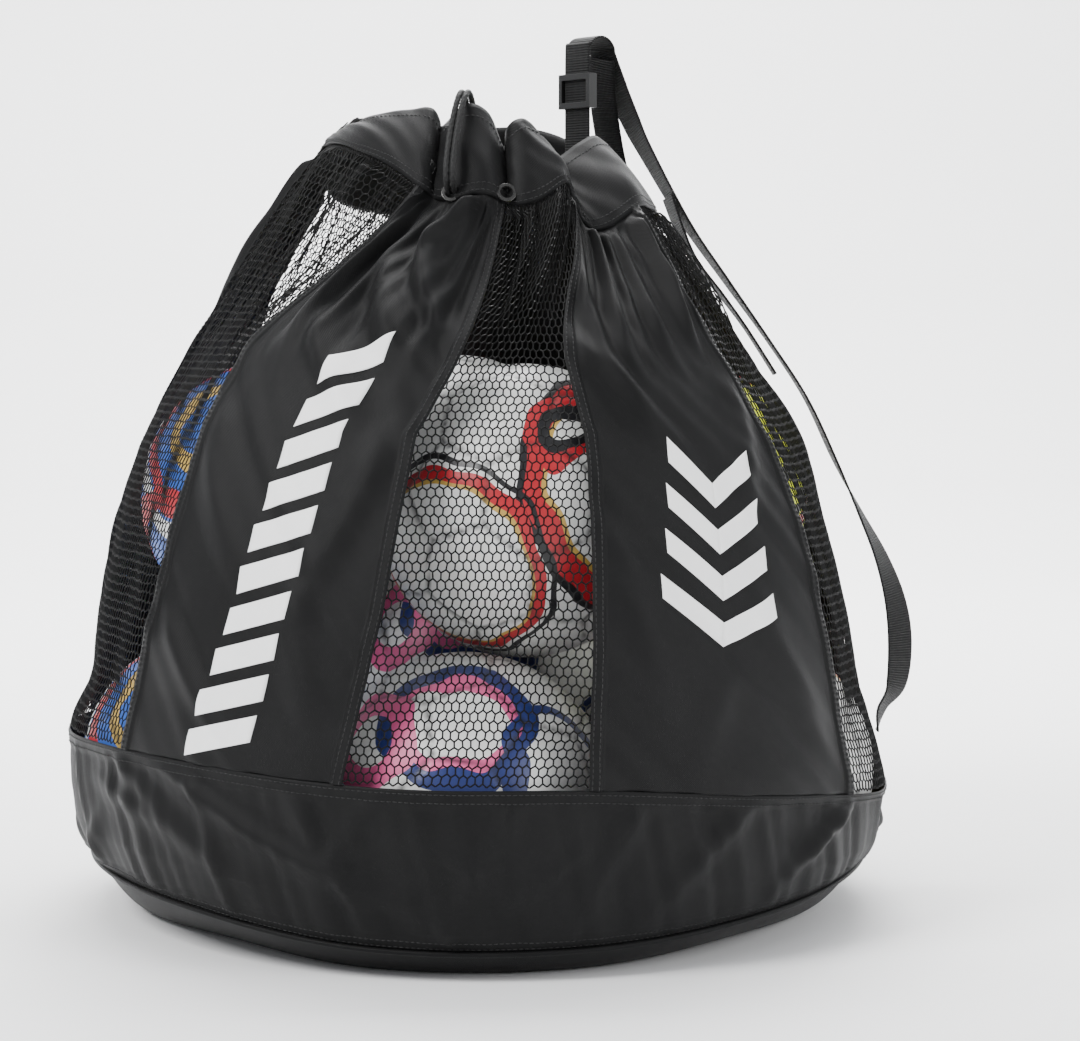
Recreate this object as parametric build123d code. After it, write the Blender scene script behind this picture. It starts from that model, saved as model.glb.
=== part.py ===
import os
from math import asin, cos, degrees, pi, radians, sin, sqrt, tan

from build123d import *

# Mesh ball bag with a drawcord mouth and a carry strap, filled with footballs.
# Millimetres. +Z is up and -Y is the front. The origin is the middle of the base, on the ground.

# ---- driving dimensions: the bag --------------------------------------------------------
BELLY_R = 325.0            # widest radius of the bag
BAND_MID_R = BELLY_R - 4.0
BAND_MID_Z = 70.0
BASE_SEAM_R = BELLY_R - 20.0   # seam between the base panel and the bottom band
BASE_SEAM_Z = 26.0
BASE_FLAT_R = BASE_SEAM_R - 21.0   # flat part of the base panel
BAND_TOP_Z = 124.0         # seam between the bottom band and the panels
WALL = 2.2                 # one fabric layer with its folds
NECK_R = 148.0             # outside radius where the panels meet the collar
NECK_Z = 543.0
THROAT_R = 120.0           # collar just above the drawcord
THROAT_Z = 600.0
RIM_R = 118.0              # top edge of the collar
RIM_Z = 618.0
COLLAR_WALL = 11.5         # folded band: two layers with the cord channel between them
SOLID_SPAN = 51.0          # angle that one solid panel takes
PIPING_DIA = 4.0
GAP = 0.3                  # clearance between pieces that only touch

# Radius and height of the panels between the belly and the neck.
PANEL_SHAPE = [(BELLY_R - 7, 215.0), (BELLY_R - 27, 300.0), (BELLY_R - 62, 385.0), (BELLY_R - 112, 465.0)]

# ---- driving dimensions: the balls ------------------------------------------------------
BALL_DIA = 218.0           # full-size football
BALL_GAP = 0.4             # clearance between balls, and from ball to base
BALL_SLACK = 3.3           # lower balls to the wall
RING_ANGLES = (-93, -20, 52, 124, 198)
UPPER_ANGLES = (-78, 9, 96, 183)
UPPER_STEP = 87.0          # smallest angle between two upper balls

# ---- driving dimensions: drawcord, eyelets and cord lock --------------------------------
CORD_DIA = 4.5
STRAND_PITCH = CORD_DIA + GAP      # spacing of the two ends of the cord
CHANNEL_DIA = CORD_DIA + 1.7
EYELET_Z = 555.0           # height of the eyelets on the collar's outer face
CORD_ANGLE = -98.0         # the eyelet that the cord comes out of
SPARE_ANGLE = -81.5        # the empty eyelet
EYELET_OD = 15.0
EYELET_BORE = CORD_DIA + STRAND_PITCH + 0.7
EYELET_WALL = 0.6
EYELET_FLANGE = 1.2
EYELET_DEPTH = 2.3         # barrel inside the collar's outer layer
KNOT_DIA = 14.0
KNOT_HEIGHT = 13.0
KNOT_ROUND = 2.0
LOCK_DIA = 18.0
LOCK_BORE = 13.2
LOCK_BACK = 19.0           # body length behind the cords
LOCK_FRONT = 11.0          # body length in front of the cords
LOCK_END_WALL = 2.5
LOCK_Z = 576.0
LOCK_ROUND = 2.0
BUTTON_DIA = LOCK_BORE - GAP
BUTTON_TRAVEL = 4.0
BUTTON_HEAD_DIA = 15.5
BUTTON_HEAD = 3.6
BUTTON_TAIL = 8.0          # plunger behind the middle of the cords
SLOT_CLEARANCE = 0.9       # cords to the sides of the slot
SPRING_WIRE = 0.9
SPRING_TURNS = 3

# Middle line of the two cord ends, after the eyelet: up over the collar's rim, then down inside.
CORD_ROUTE = [
    (-20.0, -147.0, 588.0),
    (-15.5, -132.0, 615.0),
    (-11.0, -120.0, 631.0),
    (-8.0, -102.0, 631.0),
    (-4.0, -88.5, 612.0),
    (-3.0, -88.0, 580.0),
    (-3.0, -88.0, 548.0),
]
CORD_OUT = 23.0            # first straight run, out of the channel through the eyelet
ARC_SHARE = 0.45           # share of the shorter run that an arc uses

# ---- driving dimensions: carry strap ----------------------------------------------------
WEB_WIDTH = 30.0
WEB_THICK = 1.8
STRAP_ANGLE = 39.0         # where the strap comes out of the mouth
LEG_LOW_Z = 588.0
LEG_TOP_Z = 675.0
LOOP_R = 14.0              # carry loop over the rim
LOOP_STEPS = 6
SLIDER_Z = 645.0
SLIDER_HEIGHT = 28.0
SLIDER_BAR = 5.0
SLIDER_THICK = 3.0
SLIDER_SIDE_GAP = 0.5
SLIDER_RAIL = 3.5
SLIDER_WIDTH = WEB_WIDTH + 2 * (SLIDER_SIDE_GAP + SLIDER_RAIL)

# Middle of the webbing: distance out from the bag's wall, angle about the axis, height, and
# the heading of its width in degrees.
OUTER_RUN = [
    (21.6, 36.0, 650, 124),
    (30.7, 33.5, 625, 118),
    (37.2, 30.0, 598, 110),
    (34.6, 23.7, 538, 100),
    (24.6, 19.3, 492, 95),
    (19.9, 15.6, 444, 90),
    (18.3, 12.4, 396, 90),
    (17.5, 10.5, 345, 90),
    (19.1, 8.9, 303, 90),
    (26.8, 7.8, 265, 90),
    (29.1, 7.0, 230, 90),
    (29.8, 6.6, 196, 90),
    (21.0, 6.4, 162, 90),
    (7.5, 6.4, 142, 90),
    (2.5, 6.3, 124, 90),
]
INNER_RUN = [
    (33.9, 26.2, 560, 103),
    (25.7, 24.4, 534, 100),
    (14.4, 22.1, 508, 96),
    (10.3, 19.1, 480, 93),
    (7.9, 16.5, 452, 90),
    (6.7, 14.3, 415, 90),
]
REAR_RUN = [
    (20.1, 41.8, 640, 132),
    (27.0, 42.0, 598, 131),
    (14.0, 39.5, 556, 129),
    (4.4, 38.1, 527, 128),
    (4.2, 38.1, 510, 128),
]

# Radius and height of the bag's outside, from the base seam to the rim.
PANEL_OUTLINE = [(BELLY_R, BAND_TOP_Z)] + PANEL_SHAPE + [(NECK_R, NECK_Z)]
BAND_OUTLINE = [(BASE_SEAM_R, BASE_SEAM_Z), (BAND_MID_R, BAND_MID_Z), (BELLY_R, BAND_TOP_Z)]
WHOLE_OUTLINE = BAND_OUTLINE + PANEL_SHAPE + [(NECK_R, NECK_Z), (THROAT_R, THROAT_Z), (RIM_R, RIM_Z)]


os.makedirs("parts", exist_ok=True)


def save(solid, name):
    solid.label = name
    export_step(solid, f"parts/{name}.step")


def polar(radius, angle, z):
    """Point at a radius and an angle in degrees about the bag's axis."""
    return Vector(radius * cos(radians(angle)), radius * sin(radians(angle)), z)


def upright(outline):
    """Closed face in the XZ plane from corners given as radius and height."""
    points = [Vector(r, 0, z) for r, z in outline]
    return make_face(Polyline(*points, close=True))


# ---- bag shell --------------------------------------------------------------------------
def wall_face(outline):
    """Upright face of a wall whose outer side is a smooth curve."""
    outer = [Vector(r, 0, z) for r, z in outline]
    inner = [Vector(r - WALL, 0, z) for r, z in outline]
    edges = [Spline(*outer), Line(outer[-1], inner[-1]), Spline(*inner), Line(outer[0], inner[0])]
    return make_face(edges)


def make_base():
    outline = [
        (0, 0),
        (BASE_FLAT_R, 0),
        (BASE_SEAM_R, BASE_SEAM_Z),
        (BASE_SEAM_R - WALL, BASE_SEAM_Z),
        (BASE_FLAT_R - WALL, WALL),
        (0, WALL),
    ]
    save(revolve(upright(outline), Axis.Z), "base_panel")
    piping_r = BASE_SEAM_R + PIPING_DIA / 2 + 2 * GAP
    save(Pos(0, 0, BASE_SEAM_Z) * Torus(piping_r, PIPING_DIA / 2), "base_piping")


def make_band():
    save(revolve(wall_face(BAND_OUTLINE), Axis.Z), "bottom_band")


def make_panels():
    face = wall_face(PANEL_OUTLINE)
    mesh_span = 90.0 - SOLID_SPAN
    mesh_middles = {"front": -90, "right": 0, "rear": 90, "left": 180}
    solid_middles = {"front_right": -45, "rear_right": 45, "rear_left": 135, "front_left": -135}
    for side, middle in mesh_middles.items():
        start = Rot(0, 0, middle - mesh_span / 2) * face
        save(revolve(start, Axis.Z, mesh_span), f"mesh_panel_{side}")
    for corner, middle in solid_middles.items():
        start = Rot(0, 0, middle - SOLID_SPAN / 2) * face
        save(revolve(start, Axis.Z, SOLID_SPAN), f"solid_panel_{corner}")


# The collar's outer face leans in from the neck to the throat. Both eyelets stand square to it.
lean = Vector(THROAT_R - NECK_R, 0, THROAT_Z - NECK_Z).normalized()
outward = Vector(lean.Z, 0, -lean.X)
eyelet_point = Vector(NECK_R, 0, NECK_Z) + lean * ((EYELET_Z - NECK_Z) / lean.Z)
channel_point = eyelet_point - outward * (COLLAR_WALL / 2)


def eyelet_plane(angle, point):
    """Local X runs round the collar and local Z points out of it."""
    origin, z_dir = point.rotate(Axis.Z, angle), outward.rotate(Axis.Z, angle)
    return Plane(origin, x_dir=polar(1, angle + 90, 0), z_dir=z_dir)


def make_collar():
    outline = [
        (NECK_R, NECK_Z),
        (THROAT_R, THROAT_Z),
        (RIM_R, RIM_Z),
        (RIM_R - COLLAR_WALL, RIM_Z),
        (THROAT_R - COLLAR_WALL, THROAT_Z),
        (NECK_R - COLLAR_WALL, NECK_Z),
    ]
    collar = revolve(upright(outline), Axis.Z)
    collar -= Pos(0, 0, channel_point.Z) * Torus(channel_point.X, CHANNEL_DIA / 2)
    hole_r = EYELET_BORE / 2 + EYELET_WALL + GAP
    depth = COLLAR_WALL / 2 + EYELET_FLANGE
    for angle in (CORD_ANGLE, SPARE_ANGLE):
        hole = Cylinder(hole_r, depth, align=(Align.CENTER, Align.CENTER, Align.MIN))
        collar -= eyelet_plane(angle, channel_point) * hole
    save(collar, "collar")


def make_eyelets():
    above = (Align.CENTER, Align.CENTER, Align.MIN)
    below = (Align.CENTER, Align.CENTER, Align.MAX)
    flange = Pos(0, 0, GAP) * Cylinder(EYELET_OD / 2, EYELET_FLANGE, align=above)
    barrel = Pos(0, 0, GAP) * Cylinder(EYELET_BORE / 2 + EYELET_WALL, EYELET_DEPTH + GAP, align=below)
    eyelet = flange + barrel - Cylinder(EYELET_BORE / 2, COLLAR_WALL)
    outer_rim = eyelet.edges().filter_by(GeomType.CIRCLE).sort_by(Axis.Z)[-2:]
    eyelet = fillet(outer_rim.sort_by(SortBy.RADIUS)[-1], EYELET_FLANGE / 2)
    save(eyelet_plane(CORD_ANGLE, eyelet_point) * eyelet, "eyelet_cord")
    save(eyelet_plane(SPARE_ANGLE, eyelet_point) * eyelet, "eyelet_spare")


# ---- drawcord ---------------------------------------------------------------------------
def make_drawcord_loop():
    half_gap = STRAND_PITCH / 2 + CORD_DIA / 2 + GAP
    gap_angle = degrees(asin(half_gap / channel_point.X))
    section = Plane.XZ * Pos(channel_point.X, channel_point.Z) * Circle(CORD_DIA / 2)
    start = Rot(0, 0, CORD_ANGLE + gap_angle) * section
    save(revolve(start, Axis.Z, 360 - 2 * gap_angle), "drawcord_loop")


def arc_radii(points):
    """Arc at each corner: a share of the shorter run over the tangent of half the turn."""
    radii = []
    for before, corner, after in zip(points, points[1:], points[2:]):
        into, out = corner - before, after - corner
        shorter = min(into.length, out.length)
        radii.append(ARC_SHARE * shorter / tan(radians(into.get_angle(out) / 2)))
    return radii


def make_drawcord_ends():
    exit_plane = eyelet_plane(CORD_ANGLE, channel_point)
    start = exit_plane.origin
    middle = [start, start + exit_plane.z_dir * CORD_OUT] + [Vector(p) for p in CORD_ROUTE]
    for name, side in (("left", -1), ("right", 1)):
        shift = exit_plane.x_dir * (side * STRAND_PITCH / 2)
        points = [p + shift for p in middle]
        radii = arc_radii(points)
        path = FilletPolyline(*points, radius=radii)
        tube = sweep(Plane(start + shift, z_dir=exit_plane.z_dir) * Circle(CORD_DIA / 2), path)
        expected = path.length * pi * CORD_DIA**2 / 4
        print(f"drawcord_end_{name}: length {path.length:.1f}, volume ratio {tube.volume / expected:.4f}")
        print("  radii", [round(r, 1) for r in radii])
        save(tube, f"drawcord_end_{name}")


def make_knot():
    x, y, z = CORD_ROUTE[-1]
    knot = Cylinder(KNOT_DIA / 2, KNOT_HEIGHT, align=(Align.CENTER, Align.CENTER, Align.MAX))
    knot = fillet(knot.edges().filter_by(GeomType.CIRCLE), KNOT_ROUND)
    save(Pos(x, y, z) * knot, "cord_knot")


# ---- cord lock: the button slides along X in the body, the cords pass along Z -----------
lock_place = Pos(CORD_ROUTE[-1][0], CORD_ROUTE[-1][1], LOCK_Z)
slot_length = STRAND_PITCH + CORD_DIA + 2 * SLOT_CLEARANCE
slot_width = CORD_DIA + 2 * SLOT_CLEARANCE
spring_length = LOCK_BACK - LOCK_END_WALL - BUTTON_TAIL - BUTTON_TRAVEL - GAP


def rod_x(diameter, low, high):
    """Round bar along X from low to high."""
    rod = Rot(0, 90, 0) * Cylinder(diameter / 2, high - low)
    return Pos((low + high) / 2, 0, 0) * rod


def make_cord_lock():
    body = rod_x(LOCK_DIA, -LOCK_BACK, LOCK_FRONT)
    body = fillet(body.edges().filter_by(GeomType.CIRCLE), LOCK_ROUND)
    body -= rod_x(LOCK_BORE, -LOCK_BACK + LOCK_END_WALL, LOCK_FRONT + 1)
    body -= Box(slot_length, slot_width, 2 * LOCK_DIA)
    save(lock_place * body, "cord_lock_body")

    head_at = LOCK_FRONT + GAP + BUTTON_TRAVEL
    button = rod_x(BUTTON_DIA, -BUTTON_TAIL, head_at) + rod_x(BUTTON_HEAD_DIA, head_at, head_at + BUTTON_HEAD)
    window = Box(slot_length + BUTTON_TRAVEL, slot_width, 2 * LOCK_DIA)
    button -= Pos(BUTTON_TRAVEL / 2, 0, 0) * window
    save(lock_place * button, "cord_lock_button")

    coil_r = LOCK_BORE / 2 - SPRING_WIRE / 2 - 2 * GAP
    pitch = (spring_length - SPRING_WIRE) / SPRING_TURNS
    coil = Helix(pitch, pitch * SPRING_TURNS, coil_r)
    wire = Plane(coil @ 0, z_dir=coil % 0) * Circle(SPRING_WIRE / 2)
    spring = Rot(0, -90, 0) * sweep(wire, coil, is_frenet=True)
    spring = Pos(-BUTTON_TAIL - SPRING_WIRE / 2 - GAP / 3, 0, 0) * spring
    save(lock_place * spring, "cord_lock_spring")


# ---- carry strap ------------------------------------------------------------------------
# The leg stands inside the collar, its edges just clear of the curved rim.
rim_inner_r = RIM_R - COLLAR_WALL
leg_r = sqrt(rim_inner_r**2 - (WEB_WIDTH / 2) ** 2) - GAP - WEB_THICK / 2
TANGENT = STRAP_ANGLE + 90


def wall_radius(z):
    """Outside radius of the bag at a height."""
    for (low_r, low_z), (high_r, high_z) in zip(WHOLE_OUTLINE, WHOLE_OUTLINE[1:]):
        if z <= high_z:
            return low_r + (high_r - low_r) * (z - low_z) / (high_z - low_z)
    return RIM_R


def beside_wall(run):
    """Points and headings of a run given by its distances out from the wall."""
    return [(polar(wall_radius(z) + out, angle, z), heading) for out, angle, z, heading in run]


def ribbon(stations):
    """Webbing through points with the headings of its width, as flat strips joined end to end."""
    centres = [point for point, _ in stations]
    sections = []
    for i, (_, heading) in enumerate(stations):
        before = centres[max(i - 1, 0)]
        after = centres[min(i + 1, len(centres) - 1)]
        along = (after - before).normalized()
        width = Vector(cos(radians(heading)), sin(radians(heading)), 0)
        plane = Plane(centres[i], x_dir=width - along * width.dot(along), z_dir=along)
        sections.append(plane * Rectangle(WEB_WIDTH, WEB_THICK))
    return loft(sections, ruled=True)


def station(radius, z):
    return (polar(radius, STRAP_ANGLE, z), TANGENT)


def make_strap():
    outer = [station(leg_r, LEG_LOW_Z)]
    for step in range(LOOP_STEPS + 1):
        turn = radians(180 * step / LOOP_STEPS)
        outer.append(station(leg_r + LOOP_R * (1 - cos(turn)), LEG_TOP_Z + LOOP_R * sin(turn)))
    save(ribbon(outer + beside_wall(OUTER_RUN)), "strap_outer_run")
    save(ribbon(beside_wall(INNER_RUN)), "strap_inner_run")
    under_loop = station(leg_r + 2 * LOOP_R - WEB_THICK - GAP, LEG_TOP_Z - 2)
    save(ribbon([under_loop] + beside_wall(REAR_RUN)), "strap_rear_run")


def make_slider():
    """Moulded adjuster: a frame behind the webbing, two side rails and a bar in front of it."""
    layer = WEB_THICK / 2 + GAP
    behind = (Align.CENTER, Align.CENTER, Align.MAX)
    front = (Align.CENTER, Align.CENTER, Align.MIN)
    frame = Pos(0, 0, -layer) * Box(SLIDER_WIDTH, SLIDER_HEIGHT, SLIDER_THICK, align=behind)
    window_height = SLIDER_HEIGHT - 2 * SLIDER_BAR
    frame -= Box(WEB_WIDTH, window_height, 4 * SLIDER_THICK)
    bar = Pos(0, 0, layer) * Box(SLIDER_WIDTH, SLIDER_BAR, SLIDER_THICK, align=front)
    for side in (-1, 1):
        across = side * (SLIDER_WIDTH - SLIDER_RAIL) / 2
        frame += Pos(across, 0, -layer) * Box(SLIDER_RAIL, SLIDER_HEIGHT, 2 * layer + SLIDER_THICK, align=front)
    slider = frame + bar
    origin = polar(leg_r, STRAP_ANGLE, SLIDER_Z)
    place = Plane(origin, x_dir=polar(1, TANGENT, 0), z_dir=polar(1, STRAP_ANGLE, 0))
    save(place * slider, "strap_slider")


# ---- balls ------------------------------------------------------------------------------
def resting(x, y, below, floor_z):
    """Centre of a ball at x, y, as low as the balls below and the base allow."""
    pitch = BALL_DIA + BALL_GAP
    z = floor_z
    for ball in below:
        across = sqrt((ball.X - x) ** 2 + (ball.Y - y) ** 2)
        if across < pitch:
            z = max(z, ball.Z + sqrt(pitch**2 - across**2))
    return Vector(x, y, z)


def make_balls():
    pitch = BALL_DIA + BALL_GAP
    floor_z = WALL + BALL_GAP + BALL_DIA / 2
    ring_r = BELLY_R - WALL - BALL_SLACK - BALL_DIA / 2
    upper_r = pitch / (2 * sin(radians(UPPER_STEP / 2)))
    centres = [polar(ring_r, angle, floor_z) for angle in RING_ANGLES]
    centres.append(resting(0, 0, centres, floor_z))
    lower = list(centres)
    for angle in UPPER_ANGLES:
        spot = polar(upper_r, angle, 0)
        centres.append(resting(spot.X, spot.Y, lower, floor_z))
    for number, centre in enumerate(centres, start=1):
        print(f"ball_{number}: {centre.X:.1f} {centre.Y:.1f} {centre.Z:.1f}")
        save(Pos(centre) * Sphere(BALL_DIA / 2), f"ball_{number}")


make_base()
make_band()
make_panels()
make_collar()
make_eyelets()
make_drawcord_loop()
make_drawcord_ends()
make_knot()
make_cord_lock()
make_strap()
make_slider()
make_balls()
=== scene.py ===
import math

import bmesh
import bpy
import numpy as np
from mathutils import Matrix, Vector


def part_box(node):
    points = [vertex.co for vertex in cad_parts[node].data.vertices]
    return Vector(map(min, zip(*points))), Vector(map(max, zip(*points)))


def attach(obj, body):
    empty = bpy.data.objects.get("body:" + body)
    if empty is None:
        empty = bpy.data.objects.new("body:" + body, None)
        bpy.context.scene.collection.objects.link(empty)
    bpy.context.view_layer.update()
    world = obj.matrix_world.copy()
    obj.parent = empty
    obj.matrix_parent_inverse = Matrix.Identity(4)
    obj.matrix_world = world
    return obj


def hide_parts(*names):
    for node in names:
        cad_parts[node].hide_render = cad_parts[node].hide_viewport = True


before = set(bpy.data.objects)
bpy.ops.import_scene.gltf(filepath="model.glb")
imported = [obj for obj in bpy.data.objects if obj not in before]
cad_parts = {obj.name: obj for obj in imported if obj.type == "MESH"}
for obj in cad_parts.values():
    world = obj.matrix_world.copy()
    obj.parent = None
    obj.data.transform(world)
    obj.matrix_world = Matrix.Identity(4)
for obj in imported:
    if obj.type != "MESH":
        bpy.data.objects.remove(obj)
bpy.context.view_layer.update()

bl_info = {
    "name": "Mesh ball bag",
    "version": (1, 0, 0),
    "blender": (4, 5, 0),
    "location": "3D View > Sidebar > Ball Bag",
    "description": "Builds a drawstring mesh ball bag full of footballs around its packed frame",
    "category": "Object",
}

MM = 0.001

# ---- measures read from the frame -------------------------------------------------------
BASE_SEAM_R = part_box("base_panel")[1][0]
BELLY_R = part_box("mesh_panel_right")[1][0]
NECK_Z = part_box("collar")[0][2]
BALLS = [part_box(f"ball_{n}") for n in range(1, 11)]
BALL_R = (BALLS[5][1][2] - BALLS[5][0][2]) / 2
BALL_CENTRES = [tuple((a + b) / 2 for a, b in zip(low, high)) for low, high in BALLS]
CORD_R = (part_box("drawcord_loop")[1][2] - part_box("drawcord_loop")[0][2]) / 2

# ---- shape of the bag -------------------------------------------------------------------
# Height share between band and neck, and radius as a share of the belly.
PANEL_PROFILE = [(0.0, 1.0), (0.22, 0.975), (0.42, 0.913), (0.62, 0.805), (0.81, 0.652), (1.0, 0.448)]
# Height shares at which each panel edge's angle is given, in degrees right of the front.
EDGE_HEIGHTS = (0.0, 0.3, 0.6, 0.8, 1.0)
EDGE_ANGLES = (
    (-101, -99, -95, -90, -88),
    (-54, -50, -50, -50, -48),
    (-17, -12.5, -9.5, 0, 8),
    (13.5, 15, 16.5, 15, 24),
    (59, 57, 57, 52, 50),
    (106, 104, 102, 104, 108),
    (161, 167, 179, 187, 188),
    (199, 205, 222, 240, 248),
    (259, 261, 265, 270, 272),
)
PANELS = (
    ("mesh_panel_left", "mesh"),
    ("solid_panel_front_left", "solid"),
    ("mesh_panel_front", "mesh"),
    ("solid_panel_front_right", "solid"),
    ("mesh_panel_right", "mesh"),
    ("solid_panel_rear_right", "solid"),
    ("mesh_panel_rear", "mesh"),
    ("solid_panel_rear_left", "solid"),
)
STEPS = 4                      # control points along one panel's top
# Hem of the collar and its rim, four points to a panel, in millimetres.
HEM = (
    (-120, -4, 595), (-109, -36, 596), (-92, -72, 589), (-68, -101, 577),
    (-45, -124, 560), (-32, -124, 550), (-17, -143, 549), (4, -148, 553),
    (20, -138, 546), (35, -143, 545), (50, -138, 551), (65, -124, 562),
    (70, -108, 552), (80, -112, 531), (92, -109, 527), (108, -98, 535),
    (122, -77, 546), (130, -50, 546), (137, -20, 545), (141, 12, 543),
    (140, 45, 540), (117, 89, 541), (80, 123, 543), (34, 143, 545),
    (-15, 146, 545), (-52, 135, 545), (-85, 113, 547), (-109, 85, 553),
    (-122, 49, 564), (-125, 36, 572), (-126, 22, 581), (-125, 9, 589),
)
RIM = (
    (-102, 0, 608), (-97, -28, 611), (-77, -56, 617), (-51, -76, 620),
    (-34, -88, 620), (-27, -86, 606), (-10, -111, 621), (6, -108, 617),
    (19, -93, 591), (22, -112, 604), (33, -110, 611), (46, -96, 600),
    (50, -76, 582), (54, -69, 577), (62, -64, 584), (76, -54, 595),
    (90, -40, 602), (104, -16, 593), (116, 8, 574), (121, 30, 564),
    (116, 54, 568), (98, 76, 590), (66, 97, 610), (28, 110, 618),
    (-12, 112, 615), (-36, 106, 611), (-58, 96, 612), (-76, 80, 614),
    (-94, 48, 611), (-98, 36, 610), (-101, 24, 608), (-103, 12, 607),
)
NECK_BLEND = 0.72              # height share where the panels start to gather
HEM_SHARE = 0.985              # height share where the collar's hem lies on them
PANEL_TOP = 1.035              # height share of their upper edge, under the collar
GATHER_FROM = 0.62             # height share where the pleats begin
NET_CLOSING = 0.42             # share of a cell's width that is lost at the neck
PLEAT = 4.2 * MM               # height of the gathers at the neck
WRINKLE = 1.1 * MM             # height of the fine wrinkles
CLING = 2.0 * MM               # how far the cloth is drawn in between the balls at a seam
CLOTH_SAG, NET_SAG = 4.0 * MM, 12.0 * MM    # and more on the panels, and more again on netting
BALL_CLEARANCE = 3.0 * MM      # from a ball's surface to the middle of the cloth over it
BALL_SHARPNESS = 170.0         # how tightly the cloth follows a ball
FOLD_STEP, FOLD_RISE = 46.0, 440.0          # one control step and the full height, in millimetres
COLLAR_CROWN = 4.5 * MM        # bulge of the collar over the cord channel
COLLAR_RIPPLE = 1.0 * MM
COLLAR_LIFT = 1.8 * MM         # from the collar's middle to its outer cloth
BAND_SWELL = 2.2 * MM
BASE_SAG = 0.8 * MM
# Soft folds: from and to (control step, height share), width and height in millimetres.
PANEL_FOLDS = (
    (6.9, 1.0, 6.15, 0.93, 9, 13), (6.1, 0.95, 7.7, 0.75, 9, 15), (5.5, 0.90, 7.6, 0.70, 11, 12),
    (5.1, 0.98, 5.7, 0.74, 11, 9), (4.4, 0.97, 5.2, 0.70, 10, 9), (7.3, 0.97, 7.7, 0.72, 8, -8),
    (5.3, 0.80, 6.9, 0.60, 10, 6), (4.3, 0.62, 5.6, 0.34, 15, 5), (7.4, 0.58, 6.5, 0.22, 15, 5),
    (4.6, 0.24, 6.0, 0.04, 13, 5), (6.6, 0.30, 7.6, 0.04, 12, 4), (13.0, 1.0, 13.5, 0.70, 9, 12),
    (14.3, 1.0, 14.4, 0.72, 9, 10), (15.3, 1.0, 15.2, 0.74, 8, 10), (12.4, 0.90, 13.2, 0.60, 9, 8),
    (12.3, 0.76, 13.9, 0.56, 10, 6), (15.6, 0.72, 14.6, 0.45, 13, 5), (12.4, 0.44, 13.0, 0.10, 13, 4),
    (14.6, 0.32, 15.5, 0.05, 13, 4), (13.9, 0.20, 13.2, 0.02, 11, 3),
    (20.8, 1.0, 21.4, 0.72, 10, 10), (22.0, 1.0, 22.4, 0.70, 10, 11), (23.2, 1.0, 22.9, 0.74, 9, 9),
    (21.0, 0.62, 22.4, 0.30, 15, 5), (23.4, 0.50, 22.2, 0.12, 14, 4), (21.0, 0.30, 22.0, 0.04, 13, 4),
    (28.8, 1.0, 29.2, 0.72, 10, 10), (30.0, 1.0, 29.9, 0.70, 10, 11), (31.1, 1.0, 30.8, 0.74, 9, 9),
    (30.8, 0.58, 29.4, 0.28, 15, 5), (29.0, 0.42, 30.2, 0.08, 14, 4), (1.2, 1.0, 1.4, 0.80, 9, 5),
    (2.6, 1.0, 2.4, 0.78, 9, 5), (9.4, 1.0, 9.2, 0.76, 8, 7), (10.6, 1.0, 10.3, 0.74, 8, 8),
    (17.3, 1.0, 17.5, 0.76, 9, 7), (18.6, 1.0, 18.3, 0.78, 9, 7), (25.5, 1.0, 25.4, 0.76, 9, 6),
)
# Creases of the band at the front: along the seam and up from the piping, as above.
BAND_CREASES = (
    (-262, 92, 10, 4, 9, 6.5), (-340, 70, -170, 26, 9, 4.5), (-130, 74, -70, 8, 8, 5.0),
    (30, 88, -34, 6, 8, 4.5), (118, 84, 62, 8, 8, 5.5), (208, 92, 122, 12, 9, 5.5),
    (330, 84, 226, 6, 9, 5.5), (-70, 92, -116, 44, 7, 4.0), (-310, 92, -226, 46, 8, 4.0),
    (70, 60, 12, 24, 6, 3.5), (270, 40, 340, 92, 8, 4.0), (-20, 60, 30, 20, 6, 3.0),
)
# Every 30 degrees from 105 left of the front: heights of the band's top seam and of the base
# seam, and flat radius of the base.
BAND_HEIGHTS = (138, 145, 148, 141, 137, 118, 99, 104, 117, 124, 128, 133)
SEAM_HEIGHTS = (42, 44, 38, 23, 22, 32, 40, 38, 32, 28, 32, 38)
FLAT_RADII = (262, 262, 238, 268, 268, 242, 262, 262, 244, 264, 244, 262)
BAND_FOLD_COUNT = 22
BAND_PROFILE = (0.0, 0.12, 0.3, 0.6, 1.0)   # shares of the band's height that have a radius
NYLON_THICK = 1.0 * MM
# Lines along the folded edge of a solid panel, in millimetres from its seam.
FOLDED_EDGE = (0, 3, 6, 8.4, 9.0, 9.8)
PANEL_LIFT, EDGE_LIFT = 0.8 * MM, 1.3 * MM  # a panel from the wall, and its edge from the panel
STITCH_INSETS = (2.2 * MM, 7.2 * MM)        # two rows of stitches, from the seam
STRAND_R = 0.58 * MM           # netting strand
BRAID_PITCH = 6.0 * MM
WEAVE_PITCH = 1.3 * MM
WEB_RIB, WEB_RIB_HEIGHT, WEB_YARN = 2.1 * MM, 0.16 * MM, 1.5 * MM
GROOVE_DEPTH, GROOVE_WIDTH = 1.3 * MM, 1.5 * MM     # seams between a ball's sewn panels
WEB_ROW = 1.05 * MM            # spacing of the rows of points along the webbing
STITCH_PITCH = 1.4             # from one stitch to the next, in stitch lengths
THREAD_RADII = (0.3 * MM, 0.45 * MM, 0.3 * MM)
INK_THICK = 0.4 * MM
EDGE_ROUNDING = 0.7 * MM
SEED = 7


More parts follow.
